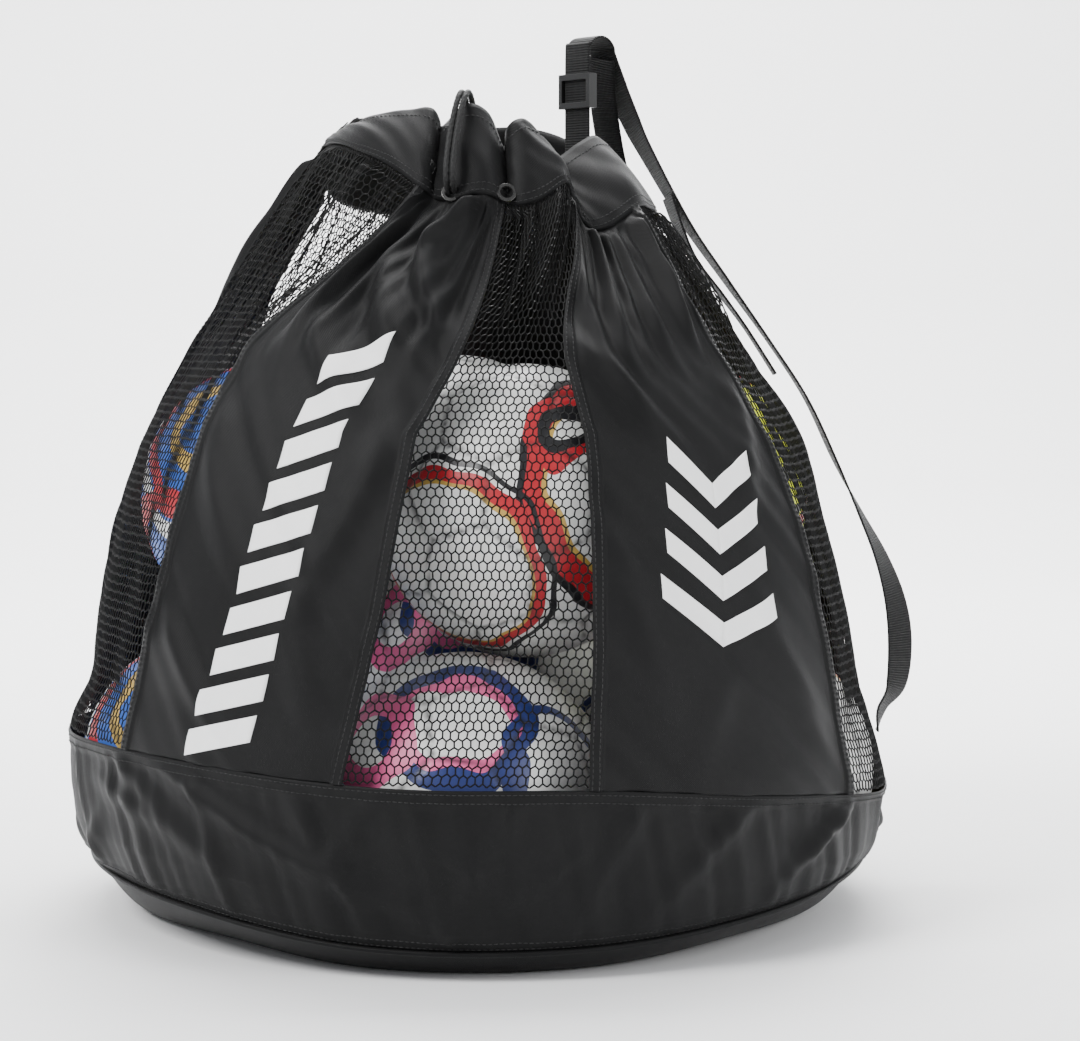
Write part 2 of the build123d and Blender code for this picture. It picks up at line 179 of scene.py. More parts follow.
# ---- arithmetic on surfaces -------------------------------------------------------------
def smooth(low, high, x):
    """Eased step from 0 at low to 1 at high."""
    t = np.clip((x - low) / (high - low), 0.0, 1.0)
    return t * t * (3 - 2 * t)


def unit(vectors):
    """The same directions at length 1."""
    return vectors / np.linalg.norm(vectors, axis=-1, keepdims=True)


def lengths_along(path):
    """Length from a path's start to each of its points."""
    return np.concatenate([[0], np.cumsum(np.linalg.norm(np.diff(path, axis=0), axis=-1))])


def points_at(path, travel, at):
    """Points at given lengths along a path whose own points lie at travel."""
    return np.stack([np.interp(at, travel, path[:, k]) for k in range(3)], axis=1)


def through(a, b, c, d, f):
    """Share f of the way from b to c on a smooth curve through a, b, c and d."""
    return 0.5 * (
        2 * b
        + (c - a) * f
        + (2 * a - 5 * b + 4 * c - d) * f**2
        + (3 * b - a - 3 * c + d) * f**3
    )


def around(table, u):
    """Smooth closed curve through a table of points, at steps u."""
    points = np.array(table, dtype=float) * MM
    i = np.floor(u).astype(int)
    f = (u - i)[..., None]
    a, b, c, d = (points[(i + k) % len(points)] for k in (-1, 0, 1, 2))
    return through(a, b, c, d, f)


def ripple(x, seed, waves=5):
    """Sum of a few sines with fixed random phases, about -1 to 1."""
    rng = np.random.default_rng(seed)
    total = np.zeros_like(x, dtype=float)
    for k in range(1, waves + 1):
        total += np.sin(x * k * (1 + 0.13 * rng.random()) + rng.random() * 6.28) / k**0.5
    return total / waves**0.5


def all_round(table, phi):
    """Smooth value at phi from a table of values every 30 degrees, in millimetres."""
    return around([(v, 0, 0) for v in table], (np.asarray(phi) + 105) % 360 / 30)[..., 0]


def seam_height(phi):
    """Height of the band's top seam, which slants down to the right."""
    return all_round(BAND_HEIGHTS, phi)


def base_height(phi):
    """Height of the piped base seam, which lifts between the balls."""
    return all_round(SEAM_HEIGHTS, phi)


def over_balls(phi, z, wall, cling):
    """Wall radius drawn in by cling metres, but carried out over each ball."""
    total = np.exp(BALL_SHARPNESS * (wall - cling))
    for x, y, height in BALL_CENTRES:
        reach = math.hypot(x, y)
        turn = np.radians(phi) - math.atan2(x, -y)
        side = (BALL_R + BALL_CLEARANCE) ** 2 - (z - height) ** 2 - (reach * np.sin(turn)) ** 2
        hit = (side > 0) & (np.cos(turn) > 0)
        ball = reach * np.cos(turn) + np.sqrt(np.where(hit, side, 0.0))
        total += np.where(hit, np.exp(BALL_SHARPNESS * ball), 0.0)
    return np.log(total) / BALL_SHARPNESS


def place(phi, radius, z):
    """Points at angles phi right of the front, in degrees."""
    angle = np.radians(phi)
    return np.stack([radius * np.sin(angle), -radius * np.cos(angle), z], axis=-1)


def panel_angle(u, h):
    """Angle round the bag at control step u and height share h."""
    edges = np.stack([np.interp(h, EDGE_HEIGHTS, row) for row in EDGE_ANGLES])
    k = np.clip(np.floor(u / STEPS).astype(int), 0, len(PANELS) - 1)
    f = u / STEPS - k
    left = np.take_along_axis(edges, k[None], 0)[0]
    right = np.take_along_axis(edges, k[None] + 1, 0)[0]
    return left + (right - left) * f


def mesh_share(u):
    """1 in the middle of a mesh panel, 0 on solid panels and at the seams."""
    k = np.floor(u / STEPS).astype(int)
    f = u / STEPS - k
    return np.where(k % 2 == 0, smooth(0.0, 0.3, np.minimum(f, 1 - f)), 0.0)


def ridges(x, y, rows):
    """Total height in metres of soft ridges, each from one place to another, in millimetres."""
    total = np.zeros_like(x, dtype=float)
    for x0, y0, x1, y1, width, height in rows:
        dx, dy = x1 - x0, y1 - y0
        length = math.hypot(dx, dy)
        along = ((x - x0) * dx + (y - y0) * dy) / length
        off = ((x - x0) * dy - (y - y0) * dx) / length + 3 * np.sin(along / 38 + x0)
        t = along / length
        taper = smooth(-0.2, 0.12, t) * (1 - smooth(0.45, 1.2, t))
        total += height * MM * taper * np.exp(-((off / width) ** 2))
    return total


def fold_height(u, h):
    """Height of all the soft folds at a place on the panels, in metres."""
    rows = [
        (a * FOLD_STEP, b * FOLD_RISE, c * FOLD_STEP, d * FOLD_RISE, wide, high)
        for a, b, c, d, wide, high in PANEL_FOLDS
    ]
    return ridges(u * FOLD_STEP, h * FOLD_RISE, rows)


def fine_profile():
    """The panel profile rounded between its points."""
    h, r = (np.array(v) for v in zip(*PANEL_PROFILE))
    steps = np.linspace(0, 1, 81)
    curve = np.polynomial.Polynomial.fit(h, r, 4)
    return list(zip(steps, curve(steps)))


FINE_PROFILE = fine_profile()


def wall(u, h):
    """Body of the bag below the gathers."""
    phi = panel_angle(u, h)
    low = seam_height(phi)
    z = low + h * (NECK_Z - low)
    radius = BELLY_R * np.interp(h, *zip(*FINE_PROFILE))
    cling = CLING + (CLOTH_SAG + NET_SAG * mesh_share(u)) * smooth(0.0, 0.12, h)
    return phi, over_balls(phi, z, radius, cling), z


def skin(u, h, lift=0.0):
    """Points on the panels at control step u and height share h, raised by lift metres."""
    u = np.asarray(u, dtype=float)
    h = np.asarray(h, dtype=float)
    u, h = np.broadcast_arrays(u, h)
    phi, radius, z = wall(u, np.minimum(h, NECK_BLEND))
    body = place(phi, radius, z)
    step = 0.02
    phi2, radius2, z2 = wall(u, np.full_like(h, NECK_BLEND - step))
    phi1, radius1, z1 = wall(u, np.full_like(h, NECK_BLEND))
    start = place(phi1, radius1, z1)
    slope = (start - place(phi2, radius2, z2)) / step * (1 - NECK_BLEND)
    hem, rim = around(HEM, u), around(RIM, u)
    t = (np.clip(h, NECK_BLEND, 1.08) - NECK_BLEND)[..., None] / (1 - NECK_BLEND)
    reach = np.linalg.norm(hem - start, axis=-1, keepdims=True)
    leave = (hem - start) * 0.7 + unit(rim - hem) * reach * 0.45
    gather = (
        start * (2 * t**3 - 3 * t**2 + 1)
        + slope * (t**3 - 2 * t**2 + t)
        + hem * (3 * t**2 - 2 * t**3)
        + leave * (t**3 - t**2)
    )
    points = np.where(h[..., None] > NECK_BLEND, gather, body)
    outward = place(phi, np.ones_like(h), np.zeros_like(h))
    outward[..., 2] = 0.45 * smooth(0.2, 0.9, h)
    pleat = PLEAT * smooth(GATHER_FROM, 1.0, h) * (1 - smooth(1.0, 1.05, h)) * ripple(u * 3.1, SEED)
    wrinkle = WRINKLE * ripple(u * 2.3 + h * 17, SEED + 1) * (1 - 0.6 * mesh_share(u))
    ease = 1 - smooth(HEM_SHARE, 1.0, h)
    height = (pleat + wrinkle + fold_height(u, h)) * ease + lift
    return points + outward * height[..., None]


def collar_point(u, t, lift=0.0):
    """Points on the collar from hem (t = 0) to rim (t = 1); t below 0 laps over the panels."""
    u, t = np.broadcast_arrays(np.asarray(u, dtype=float), np.asarray(t, dtype=float))
    hem, rim = around(HEM, u), around(RIM, u)
    side = around(HEM, u + 0.02) - around(HEM, u - 0.02)
    out = unit(np.cross(side, rim - hem))
    crown = COLLAR_CROWN * np.sin(np.pi * np.clip(t, 0, 1) ** 0.8)
    crown = crown + COLLAR_RIPPLE * ripple(u * 1.3 + t * 4, SEED + 2)
    below = skin(u, np.full_like(u, HEM_SHARE))
    lap = np.clip(-t, 0, 1)[..., None]
    base = hem + (rim - hem) * np.clip(t, 0, None)[..., None] + (below - hem) * lap * 1.2
    return base + out * (crown * (t > 0) + lift)[..., None]


def band_folds():
    """Slanting creases all round the band."""
    rng = np.random.default_rng(SEED + 3)
    rows = list(BAND_CREASES)
    for n in range(BAND_FOLD_COUNT):
        x = 380 + 1300 * (n + rng.uniform(0.1, 0.9)) / BAND_FOLD_COUNT
        x -= 2042 * (x > 1440)
        y = rng.choice([2, 90])
        lean = rng.uniform(-46, 46)
        reach = rng.uniform(35, 78) * (1 if y < 50 else -1)
        rows.append((x, y, x + lean, y + reach, rng.uniform(5, 11), rng.uniform(2.5, 5.5)))
    return rows


BAND_FOLDS = band_folds()


def band_point(phi, t, lift=0.0):
    """Points on the bottom band, from the piping (0) to the panels' seam (1)."""
    phi, t = np.broadcast_arrays(np.asarray(phi, dtype=float), np.asarray(t, dtype=float))
    low, high = base_height(phi), seam_height(phi)
    z = low + (high - low) * t
    radius = np.interp(t, BAND_PROFILE, (BASE_SEAM_R, 0.3125, 0.318, 0.321, BELLY_R - 1.0 * MM))
    radius = over_balls(phi, z, radius, CLING)
    ease = smooth(0.0, 0.12, t) * (1 - smooth(0.86, 1.0, t))
    folds = ridges(np.radians(phi) * BELLY_R / MM, t * 96, BAND_FOLDS)
    swell = BAND_SWELL * ripple(np.radians(phi) * 23 + t * 2, SEED + 4)
    return place(phi, radius + (folds + swell) * ease + lift, z)


def base_point(phi, t):
    """Points on the base, from its middle (0) to the piping (1)."""
    turn_up = 0.8
    flat = all_round(FLAT_RADII, phi)
    rise = np.clip((t - turn_up) / (1 - turn_up), 0, 1)
    radius = np.where(t < turn_up, flat * t / turn_up, flat + (BASE_SEAM_R - flat) * rise)
    sag = BASE_SAG * (1 + ripple(np.radians(phi) * 5 + t * 9, SEED + 5))
    sag = np.maximum(sag, 0) * smooth(0, 0.3, t) * (1 - smooth(0.7, 0.8, t))
    return place(phi, radius, base_height(phi) * rise**1.7 + sag)


# ---- making meshes ----------------------------------------------------------------------
def new_object(name, data):
    """An object with its data, put in the scene."""
    obj = bpy.data.objects.new(name, data)
    bpy.context.scene.collection.objects.link(obj)
    return obj


def thicken(obj, thick):
    """Gives a sheet its thickness, inwards."""
    shell = obj.modifiers.new("thickness", "SOLIDIFY")
    shell.thickness = thick
    shell.offset = -1


def mesh_object(name, points, faces, smooth_faces=True):
    """Object from points and the point numbers of its faces."""
    mesh = bpy.data.meshes.new(name)
    mesh.from_pydata(np.asarray(points).tolist(), [], np.asarray(faces).tolist())
    if smooth_faces:
        mesh.shade_smooth()
    mesh.update()
    return new_object(name, mesh)


def grid_faces(rows, cols, closed=False):
    """Four-cornered faces between rows of points."""
    wide = cols if closed else cols - 1
    r, c = np.meshgrid(np.arange(rows - 1), np.arange(wide), indexing="ij")
    right = (c + 1) % cols
    quads = [r * cols + c, r * cols + right, (r + 1) * cols + right, (r + 1) * cols + c]
    return np.stack(quads, axis=-1).reshape(-1, 4)


def grid_object(name, points, closed=False, thick=0.0):
    """Sheet from rows of points, with a UV map in metres and an optional thickness inwards."""
    rows, cols = points.shape[:2]
    obj = mesh_object(name, points.reshape(-1, 3), grid_faces(rows, cols, closed))
    across = np.linalg.norm(np.diff(points, axis=1), axis=-1).mean(axis=0)
    upward = np.linalg.norm(np.diff(points, axis=0), axis=-1).mean(axis=1)
    us = np.concatenate([[0], np.cumsum(across)])
    vs = np.concatenate([[0], np.cumsum(upward)])
    last = us[-1] + across[-1] if closed else us[-1]
    us_next = np.append(us[1:], last)
    layer = obj.data.uv_layers.new(name="UVMap")
    wide = cols if closed else cols - 1
    r, c = np.meshgrid(np.arange(rows - 1), np.arange(wide), indexing="ij")
    corner_u = np.stack([us[c], us_next[c], us_next[c], us[c]], axis=-1)
    corner_v = np.stack([vs[r], vs[r], vs[r + 1], vs[r + 1]], axis=-1)
    layer.data.foreach_set("uv", np.stack([corner_u, corner_v], axis=-1).ravel())
    if thick:
        thicken(obj, thick)
    return obj


def finish_piece(obj, material, body="bag", nodes=()):
    """Gives a piece its finish, slot and body, and the nodes that it stands for."""
    obj.data.materials.clear()
    obj.data.materials.append(material)
    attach(obj, body)
    if nodes:
        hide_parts(*nodes)
    return obj


def tube_rings(path, radius, sides, twist=0.0, knobs=None):
    """Rings of points round a path; knobs(angle, length) scales the radius."""
    path = np.asarray(path, dtype=float)
    along = unit(np.gradient(path, axis=0))
    normal = np.zeros_like(path)
    normal[0] = unit(np.cross(along[0], (0.3, 0.2, 0.9)))
    for i in range(1, len(path)):
        normal[i] = unit(normal[i - 1] - along[i] * np.dot(normal[i - 1], along[i]))
    other = np.cross(along, normal)
    angle = np.linspace(0, 2 * np.pi, sides, endpoint=False)
    grid_a, grid_s = np.meshgrid(angle, lengths_along(path))
    scale = radius * (knobs(grid_a, grid_s) if knobs else np.ones_like(grid_a))
    turn = grid_a + twist * grid_s
    return (
        path[:, None]
        + normal[:, None] * (scale * np.cos(turn))[..., None]
        + other[:, None] * (scale * np.sin(turn))[..., None]
    )


def close_ends(obj):
    """Fills the open ends of a tube."""
    work = bmesh.new()
    work.from_mesh(obj.data)
    bmesh.ops.holes_fill(work, edges=[e for e in work.edges if e.is_boundary], sides=64)
    bmesh.ops.recalc_face_normals(work, faces=work.faces)
    work.to_mesh(obj.data)
    work.free()


def weld(obj):
    """Joins the points that lie on one another."""
    work = bmesh.new()
    work.from_mesh(obj.data)
    bmesh.ops.remove_doubles(work, verts=work.verts, dist=0.005 * MM)
    work.to_mesh(obj.data)
    work.free()


def braid(angle, length):
    """Radius factor of a braided cord."""
    pitch = 2 * np.pi / BRAID_PITCH
    one = np.sin(4 * angle + pitch * length)
    two = np.sin(4 * angle - pitch * length)
    return 0.92 + 0.13 * np.maximum(one, two)


def resample(points, count):
    """A path's points, spread evenly along it."""
    points = np.asarray(points, dtype=float)
    travel = lengths_along(points)
    return points_at(points, travel, np.linspace(0, travel[-1], count))


def join(name, objects):
    """One object from several, keeping their UV maps."""
    work = bmesh.new()
    for obj in objects:
        work.from_mesh(obj.data)
        bpy.data.objects.remove(obj)
    mesh = bpy.data.meshes.new(name)
    work.to_mesh(mesh)
    work.free()
    mesh.shade_smooth()
    joined = new_object(name, mesh)
    thicken(joined, INK_THICK)
    return joined


def rounded_copy(node, name, look, body):
    """A node's own shape with its edges rounded, standing for it."""
    source = bpy.data.objects[node]
    copy = new_object(name, source.data.copy())
    copy.matrix_world = source.matrix_world.copy()
    weld(copy)
    edge = copy.modifiers.new("edges", "BEVEL")
    edge.width = EDGE_ROUNDING
    edge.segments = 3
    edge.limit_method = "ANGLE"
    return finish_piece(copy, look, body, nodes=(node,))


# ---- materials --------------------------------------------------------------------------
class Number:
    """A shader socket that adds up like a number."""

    def __init__(self, finish, socket):
        self.finish = finish
        self.socket = socket

    def maths(self, operation, first, second):
        return self.finish.node("ShaderNodeMath", {"operation": operation}, {0: first, 1: second})

    def __add__(self, other):
        return self.maths("ADD", self, other)

    __radd__ = __add__

    def __sub__(self, other):
        return self.maths("SUBTRACT", self, other)

    def __rsub__(self, other):
        return self.maths("SUBTRACT", other, self)

    def __mul__(self, other):
        return self.maths("MULTIPLY", self, other)

    __rmul__ = __mul__

    def __gt__(self, other):
        return self.maths("GREATER_THAN", self, other)

    def __lt__(self, other):
        return self.maths("LESS_THAN", self, other)

    def sine(self):
        return self.maths("SINE", self, 0.0)


class Finish:
    """One material, written as expressions."""

    def __init__(self, name, roughness=0.5, metallic=0.0):
        self.material = bpy.data.materials.new(name)
        self.material.use_nodes = True
        self.tree = self.material.node_tree
        self.shader = self.tree.nodes["Principled BSDF"]
        self.shader.inputs["Roughness"].default_value = roughness
        self.shader.inputs["Metallic"].default_value = metallic

    def node(self, kind, settings=None, sockets=None, output=0):
        made = self.tree.nodes.new(kind)
        for key, value in (settings or {}).items():
            if key == "stops":
                self.set_stops(made.color_ramp, value)
            else:
                setattr(made, key, value)
        for key, value in (sockets or {}).items():
            if isinstance(value, Number):
                self.tree.links.new(value.socket, made.inputs[key])
            else:
                made.inputs[key].default_value = value
        return Number(self, made.outputs[output])

    def set_stops(self, ramp, stops):
        while len(ramp.elements) > len(stops):
            ramp.elements.remove(ramp.elements[-1])
        while len(ramp.elements) < len(stops):
            ramp.elements.new(0.5)
        for element, (position, colour) in zip(ramp.elements, stops):
            element.position = position
            element.color = colour

    def fixed(self, **values):
        for key, value in values.items():
            self.shader.inputs[key.replace("_", " ")].default_value = value

    def drive(self, socket, value):
        self.tree.links.new(value.socket, self.shader.inputs[socket])

    def coordinates(self, kind="Object"):
        return self.node("ShaderNodeTexCoord", output=kind)

    def attribute(self, name, output="Fac"):
        return self.node("ShaderNodeAttribute", {"attribute_name": name}, output=output)

    def noise(self, scale, detail=3.0, where=None, roughness=0.5):
        where = where or self.coordinates()
        sockets = {"Vector": where, "Scale": scale, "Detail": detail, "Roughness": roughness}
        return self.node("ShaderNodeTexNoise", {}, sockets)

    def part(self, where, axis):
        return self.node("ShaderNodeSeparateXYZ", {}, {0: where}, output=axis)

    def mix(self, share, first, second):
        sockets = {0: share, 6: first, 7: second}
        return self.node("ShaderNodeMix", {"data_type": "RGBA"}, sockets, output=2)

    def bump(self, height, distance, strength=1.0):
        sockets = {"Height": height, "Distance": distance, "Strength": strength}
        self.drive("Normal", self.node("ShaderNodeBump", {}, sockets, output=0))


def shade(value, tint=(1.0, 1.0, 1.0)):
    """Colour of a given brightness."""
    return (value * tint[0], value * tint[1], value * tint[2], 1.0)


def nylon(name, level):
    """Coated woven polyester: dark, with a soft sheen, a fine weave and rubbed patches."""
    f = Finish(name)
    where = f.coordinates("UV")
    weave = 2 * math.pi / WEAVE_PITCH
    warp = (f.part(where, 0) * weave).sine()
    weft = (f.part(where, 1) * weave).sine()
    cloud = f.noise(9.0, 4.0)
    grain = f.noise(900.0, 2.0)
    rubbed = f.noise(38.0, 5.0, roughness=0.65)
    pale = shade(level * 1.6, (1.0, 1.0, 1.03))
    f.drive("Base Color", f.mix(cloud * 0.7 + rubbed * 0.3, shade(level * 0.6), pale))
    f.drive("Roughness", cloud * 0.16 + rubbed * 0.14 + 0.29)
    f.fixed(Specular_IOR_Level=0.09, Sheen_Weight=0.01, Sheen_Roughness=0.5)
    f.bump(warp * weft * 0.5 + grain * 0.7 + rubbed * 1.1, 0.18 * MM, 0.75)
    return f.material


def netting(name, level):
    """Twisted netting yarn."""
    f = Finish(name, roughness=0.5)
    twist = f.noise(700.0, 2.0)
    f.drive("Base Color", f.mix(twist, shade(level * 0.6), shade(level * 1.7)))
    f.drive("Roughness", twist * 0.2 + 0.5)
    f.fixed(Specular_IOR_Level=0.12)
    f.bump(twist, 0.1 * MM)
    return f.material


def webbing(name, level):
    """Ribbed webbing: ribs across its width and a finer yarn along it."""
    f = Finish(name)
    where = f.coordinates("UV")
    rib = (f.part(where, 1) * (2 * math.pi / WEB_RIB)).sine()
    yarn = (f.part(where, 0) * (2 * math.pi / WEB_YARN)).sine()
    fuzz = f.noise(600.0, 3.0)
    # Painted shade: the colour is darker in the troughs between the ribs, mixed with a random fuzz of the
    # yarn.
    rib_shade_and_fuzz = (rib * 0.5 + 0.5) * 0.55 + fuzz * 0.45
    f.drive("Base Color", f.mix(rib_shade_and_fuzz, shade(level * 0.5), shade(level * 1.9)))
    f.drive("Roughness", fuzz * 0.2 + 0.5)
    f.fixed(Sheen_Weight=0.03, Specular_IOR_Level=0.12)
    f.bump(rib * 0.8 + yarn * 0.25 + fuzz * 0.3, 0.35 * MM)
    return f.material


def cord_yarn(name, level):
    """Fuzzy yarn of the cords and the thread."""
    f = Finish(name)
    fuzz = f.noise(1500.0, 3.0)
    broad = f.noise(160.0, 2.0)
    f.drive("Base Color", f.mix(fuzz * 0.6 + broad * 0.4, shade(level * 0.5), shade(level * 1.9)))
    f.drive("Roughness", fuzz * 0.2 + 0.5)
    f.fixed(Sheen_Weight=0.03, Specular_IOR_Level=0.25)
    f.bump(fuzz, 0.2 * MM)
    return f.material


def moulding(name, level, roughness=0.35):
    """Moulded plastic with a fine spark texture and wear."""
    f = Finish(name)
    mottle = f.noise(420.0, 4.0)
    wear = f.noise(45.0, 5.0)
    f.drive("Base Color", f.mix(wear, shade(level * 0.8), shade(level * 1.3)))
    f.drive("Roughness", mottle * 0.12 + wear * 0.1 + roughness - 0.1)
    f.bump(mottle, 0.05 * MM)
    return f.material


def lacquer(name, level):
    """Black lacquer on metal, chipped in places."""
    f = Finish(name, metallic=0.7)
    chip = f.noise(260.0, 5.0, roughness=0.7)
    f.drive("Base Color", f.mix(chip, shade(level), shade(level * 2.4, (1.0, 0.98, 0.94))))
    f.drive("Roughness", chip * 0.25 + 0.16)
    f.bump(chip, 0.04 * MM)
    return f.material


def wire_steel(name):
    """Drawn spring wire."""
    f = Finish(name, metallic=1.0)
    drawn = f.noise(500.0, 3.0)
    f.drive("Base Color", f.mix(drawn, shade(0.42), shade(0.66)))
    f.drive("Roughness", drawn * 0.2 + 0.25)
    return f.material


def print_ink(name, level):
    """White print with a faint craze and the weave showing through."""
    f = Finish(name)
    craze = f.noise(120.0, 6.0, roughness=0.7)
    grain = f.noise(850.0, 2.0)
    f.drive("Base Color", f.mix(craze, shade(level * 0.9), shade(level, (1.0, 1.0, 0.99))))
    f.drive("Roughness", craze * 0.2 + 0.42)
    f.bump(craze * 0.5 + grain * 0.6, 0.1 * MM)
    return f.material


def ball_finish(name, base, marks):
    """Stitched ball: a base colour, marks round given axes, darker seams and a fine pebble."""
    f = Finish(name)
    way = f.attribute("ball_way", "Vector")
    seam = f.attribute("ball_seam")
    colour = f.mix(f.noise(26.0, 3.0), (*[c * 0.93 for c in base], 1.0), (*base, 1.0))
    for axis, low, high, tint in marks:
        length = math.sqrt(sum(a * a for a in axis))
        along = f.node(
            "ShaderNodeVectorMath", {"operation": "DOT_PRODUCT"},
            {0: way, 1: tuple(a / length for a in axis)}, output="Value",
        )
        along = along + (f.noise(3.2, 0.0, where=way) - 0.5) * 0.10
        mask = (along > low) * (along < high)
        colour = f.mix(mask, colour, (*tint, 1.0))
    colour = f.mix(seam * 0.85, colour, (0.02, 0.02, 0.02, 1.0))
    pebble = f.node("ShaderNodeTexVoronoi", {}, {"Vector": f.coordinates(), "Scale": 900.0})
    f.drive("Base Color", colour)
    f.drive("Roughness", f.noise(60.0, 3.0) * 0.12 + 0.27)
    f.bump(pebble, 0.12 * MM, 0.6)
    return f.material


# ---- settings that a user would change --------------------------------------------------
def colour_level(name, text, default):
    """Brightness of one finish, from 0 to 1."""
    return bpy.props.FloatProperty(
        name=name, description=text, default=default, min=0.0, max=1.0, subtype="FACTOR")


def piece_size(name, text, default):
    """Size of one kind of piece, in metres."""
    return bpy.props.FloatProperty(
        name=name, description=text, default=default, min=0.0, unit="LENGTH")


class BagSizes(bpy.types.PropertyGroup):
    """Sizes of the soft pieces."""

    web_width: piece_size("Webbing width", "Width of the strap webbing", 30 * MM)
    web_thick: piece_size("Webbing thickness", "Thickness of the strap webbing", 1.8 * MM)
    cell_width: piece_size("Netting cell width", "Width of one netting cell", 5.9 * MM)
    cell_height: piece_size("Netting cell height", "Height of one netting cell", 8.8 * MM)
    stitch: piece_size("Stitch length", "Length of one stitch", 3.0 * MM)


class BagColours(bpy.types.PropertyGroup):
    """Brightness of the finishes."""

    nylon_level: colour_level("Nylon", "Brightness of the solid panels", 0.0065)
    net_level: colour_level("Netting", "Brightness of the netting", 0.005)
    web_level: colour_level("Webbing", "Brightness of the strap", 0.009)
    thread_level: colour_level("Thread", "Brightness of the stitching thread", 0.012)
    cord_level: colour_level("Cord", "Brightness of the drawcord", 0.008)
    moulding_level: colour_level("Moulding", "Brightness of the moulded pieces", 0.01)
    eyelet_level: colour_level("Eyelets", "Brightness of the eyelets", 0.03)
    print_level: colour_level("Print", "Brightness of the printed marks", 0.9)
    floor_level: colour_level("Floor", "Brightness of the floor", 0.95)


def sizes():
    return bpy.context.scene.bag_sizes


def colours():
    return bpy.context.scene.bag_colours


def once(name, make, *values):
    """The bag's own material of that name, made on first use."""
    name = "bag_" + name
    return bpy.data.materials.get(name) or make(name, *values)


# ---- stitches, netting and webbing -------------------------------------------------------
def bars(name, centres, normals, radii):
    """One mesh of many four-sided bars, each through its own row of centres."""
    count, rings = centres.shape[:2]
    along = centres[:, -1] - centres[:, 0]
    side = unit(np.cross(along, normals))
    up = unit(np.cross(side, along))
    corners = np.stack([up, side, -up, -side], axis=1)
    points = centres[:, :, None] + corners[:, None] * np.asarray(radii)[None, :, None, None]
    first = np.arange(count)[:, None, None] * 4 * rings
    ring = np.arange(rings - 1)[None, :, None] * 4
    c = np.arange(4)[None, None, :]
    n = (c + 1) % 4
    low = first + ring
    sides = np.stack([low + c, low + n, low + 4 + n, low + 4 + c], axis=-1)
    ends = first[:, 0] + np.array([[3, 2, 1, 0]])
    tips = first[:, 0] + 4 * (rings - 1) + np.array([[0, 1, 2, 3]])
    faces = np.concatenate([sides.reshape(-1, 4), ends, tips])
    return mesh_object(name, points.reshape(-1, 3), faces, smooth_faces=False)


def stitch_rows(name, paths, outward):
    """Sewn stitches along several lines; outward is the way that each line's cloth faces."""
    stitch = sizes().stitch
    centres, normals = [], []
    for path, out in zip(paths, outward):
        travel = lengths_along(path)
        starts = np.arange(0, travel[-1] - stitch, stitch * STITCH_PITCH)
        rings = []
        for share, height in ((0.0, -0.15), (0.5, 0.3), (1.0, -0.15)):
            at = starts + share * stitch
            way = points_at(out, travel, at)
            rings.append(points_at(path, travel, at) + way * height * MM)
        centres.append(np.stack(rings, axis=1))
        normals.append(way)
    rows = bars(name, np.concatenate(centres), np.concatenate(normals), THREAD_RADII)
    return finish_piece(rows, once("thread", cord_yarn, colours().thread_level))


def row_widths(k, hs):
    """Width of panel k at each height share."""
    us = np.linspace(STEPS * k, STEPS * (k + 1), 33)
    grid_u, grid_h = np.meshgrid(us, hs)
    return np.linalg.norm(np.diff(skin(grid_u, grid_h), axis=1), axis=-1).sum(axis=1)


def up_lengths(k, hs):
    """Length up the middle of panel k to each height share."""
    middle = skin(np.full(len(hs), STEPS * (k + 0.5)), hs)
    return lengths_along(middle)


def solid_panel(k, name):
    """Panel of coated cloth with folded edges, and its stitches."""
    rows, middle = ((250, 84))
    hs = np.linspace(0, PANEL_TOP, rows)
    widths = row_widths(k, hs)[:, None]
    edge = np.array(FOLDED_EDGE) * MM / widths
    inner = edge[:, -1:] + (1 - 2 * edge[:, -1:]) * np.linspace(0, 1, middle)[None, 1:-1]
    shares = np.concatenate([edge, inner, 1 - edge[:, ::-1]], axis=1)
    margin = np.minimum(shares, 1 - shares) * widths
    folded = 1 - smooth(FOLDED_EDGE[3] * MM, FOLDED_EDGE[5] * MM, margin)
    lift = PANEL_LIFT + EDGE_LIFT * folded
    grid_h = np.repeat(hs[:, None], shares.shape[1], axis=1)
    panel = grid_object(name + "_cloth", skin(STEPS * (k + shares), grid_h, lift), thick=NYLON_THICK)
    finish_piece(panel, once("nylon", nylon, colours().nylon_level), nodes=(name,))
    paths, outs = [], []
    for side in (0, 1):
        for inset in STITCH_INSETS:
            share = inset / widths[:, 0]
            u = STEPS * (k + (share if side == 0 else 1 - share))
            paths.append(skin(u, hs, PANEL_LIFT + EDGE_LIFT + 0.05 * MM))
            outs.append(place(panel_angle(u, hs), np.ones_like(hs), np.full_like(hs, 0.3)))
    stitches = stitch_rows("stitches_" + name[12:], paths, outs)


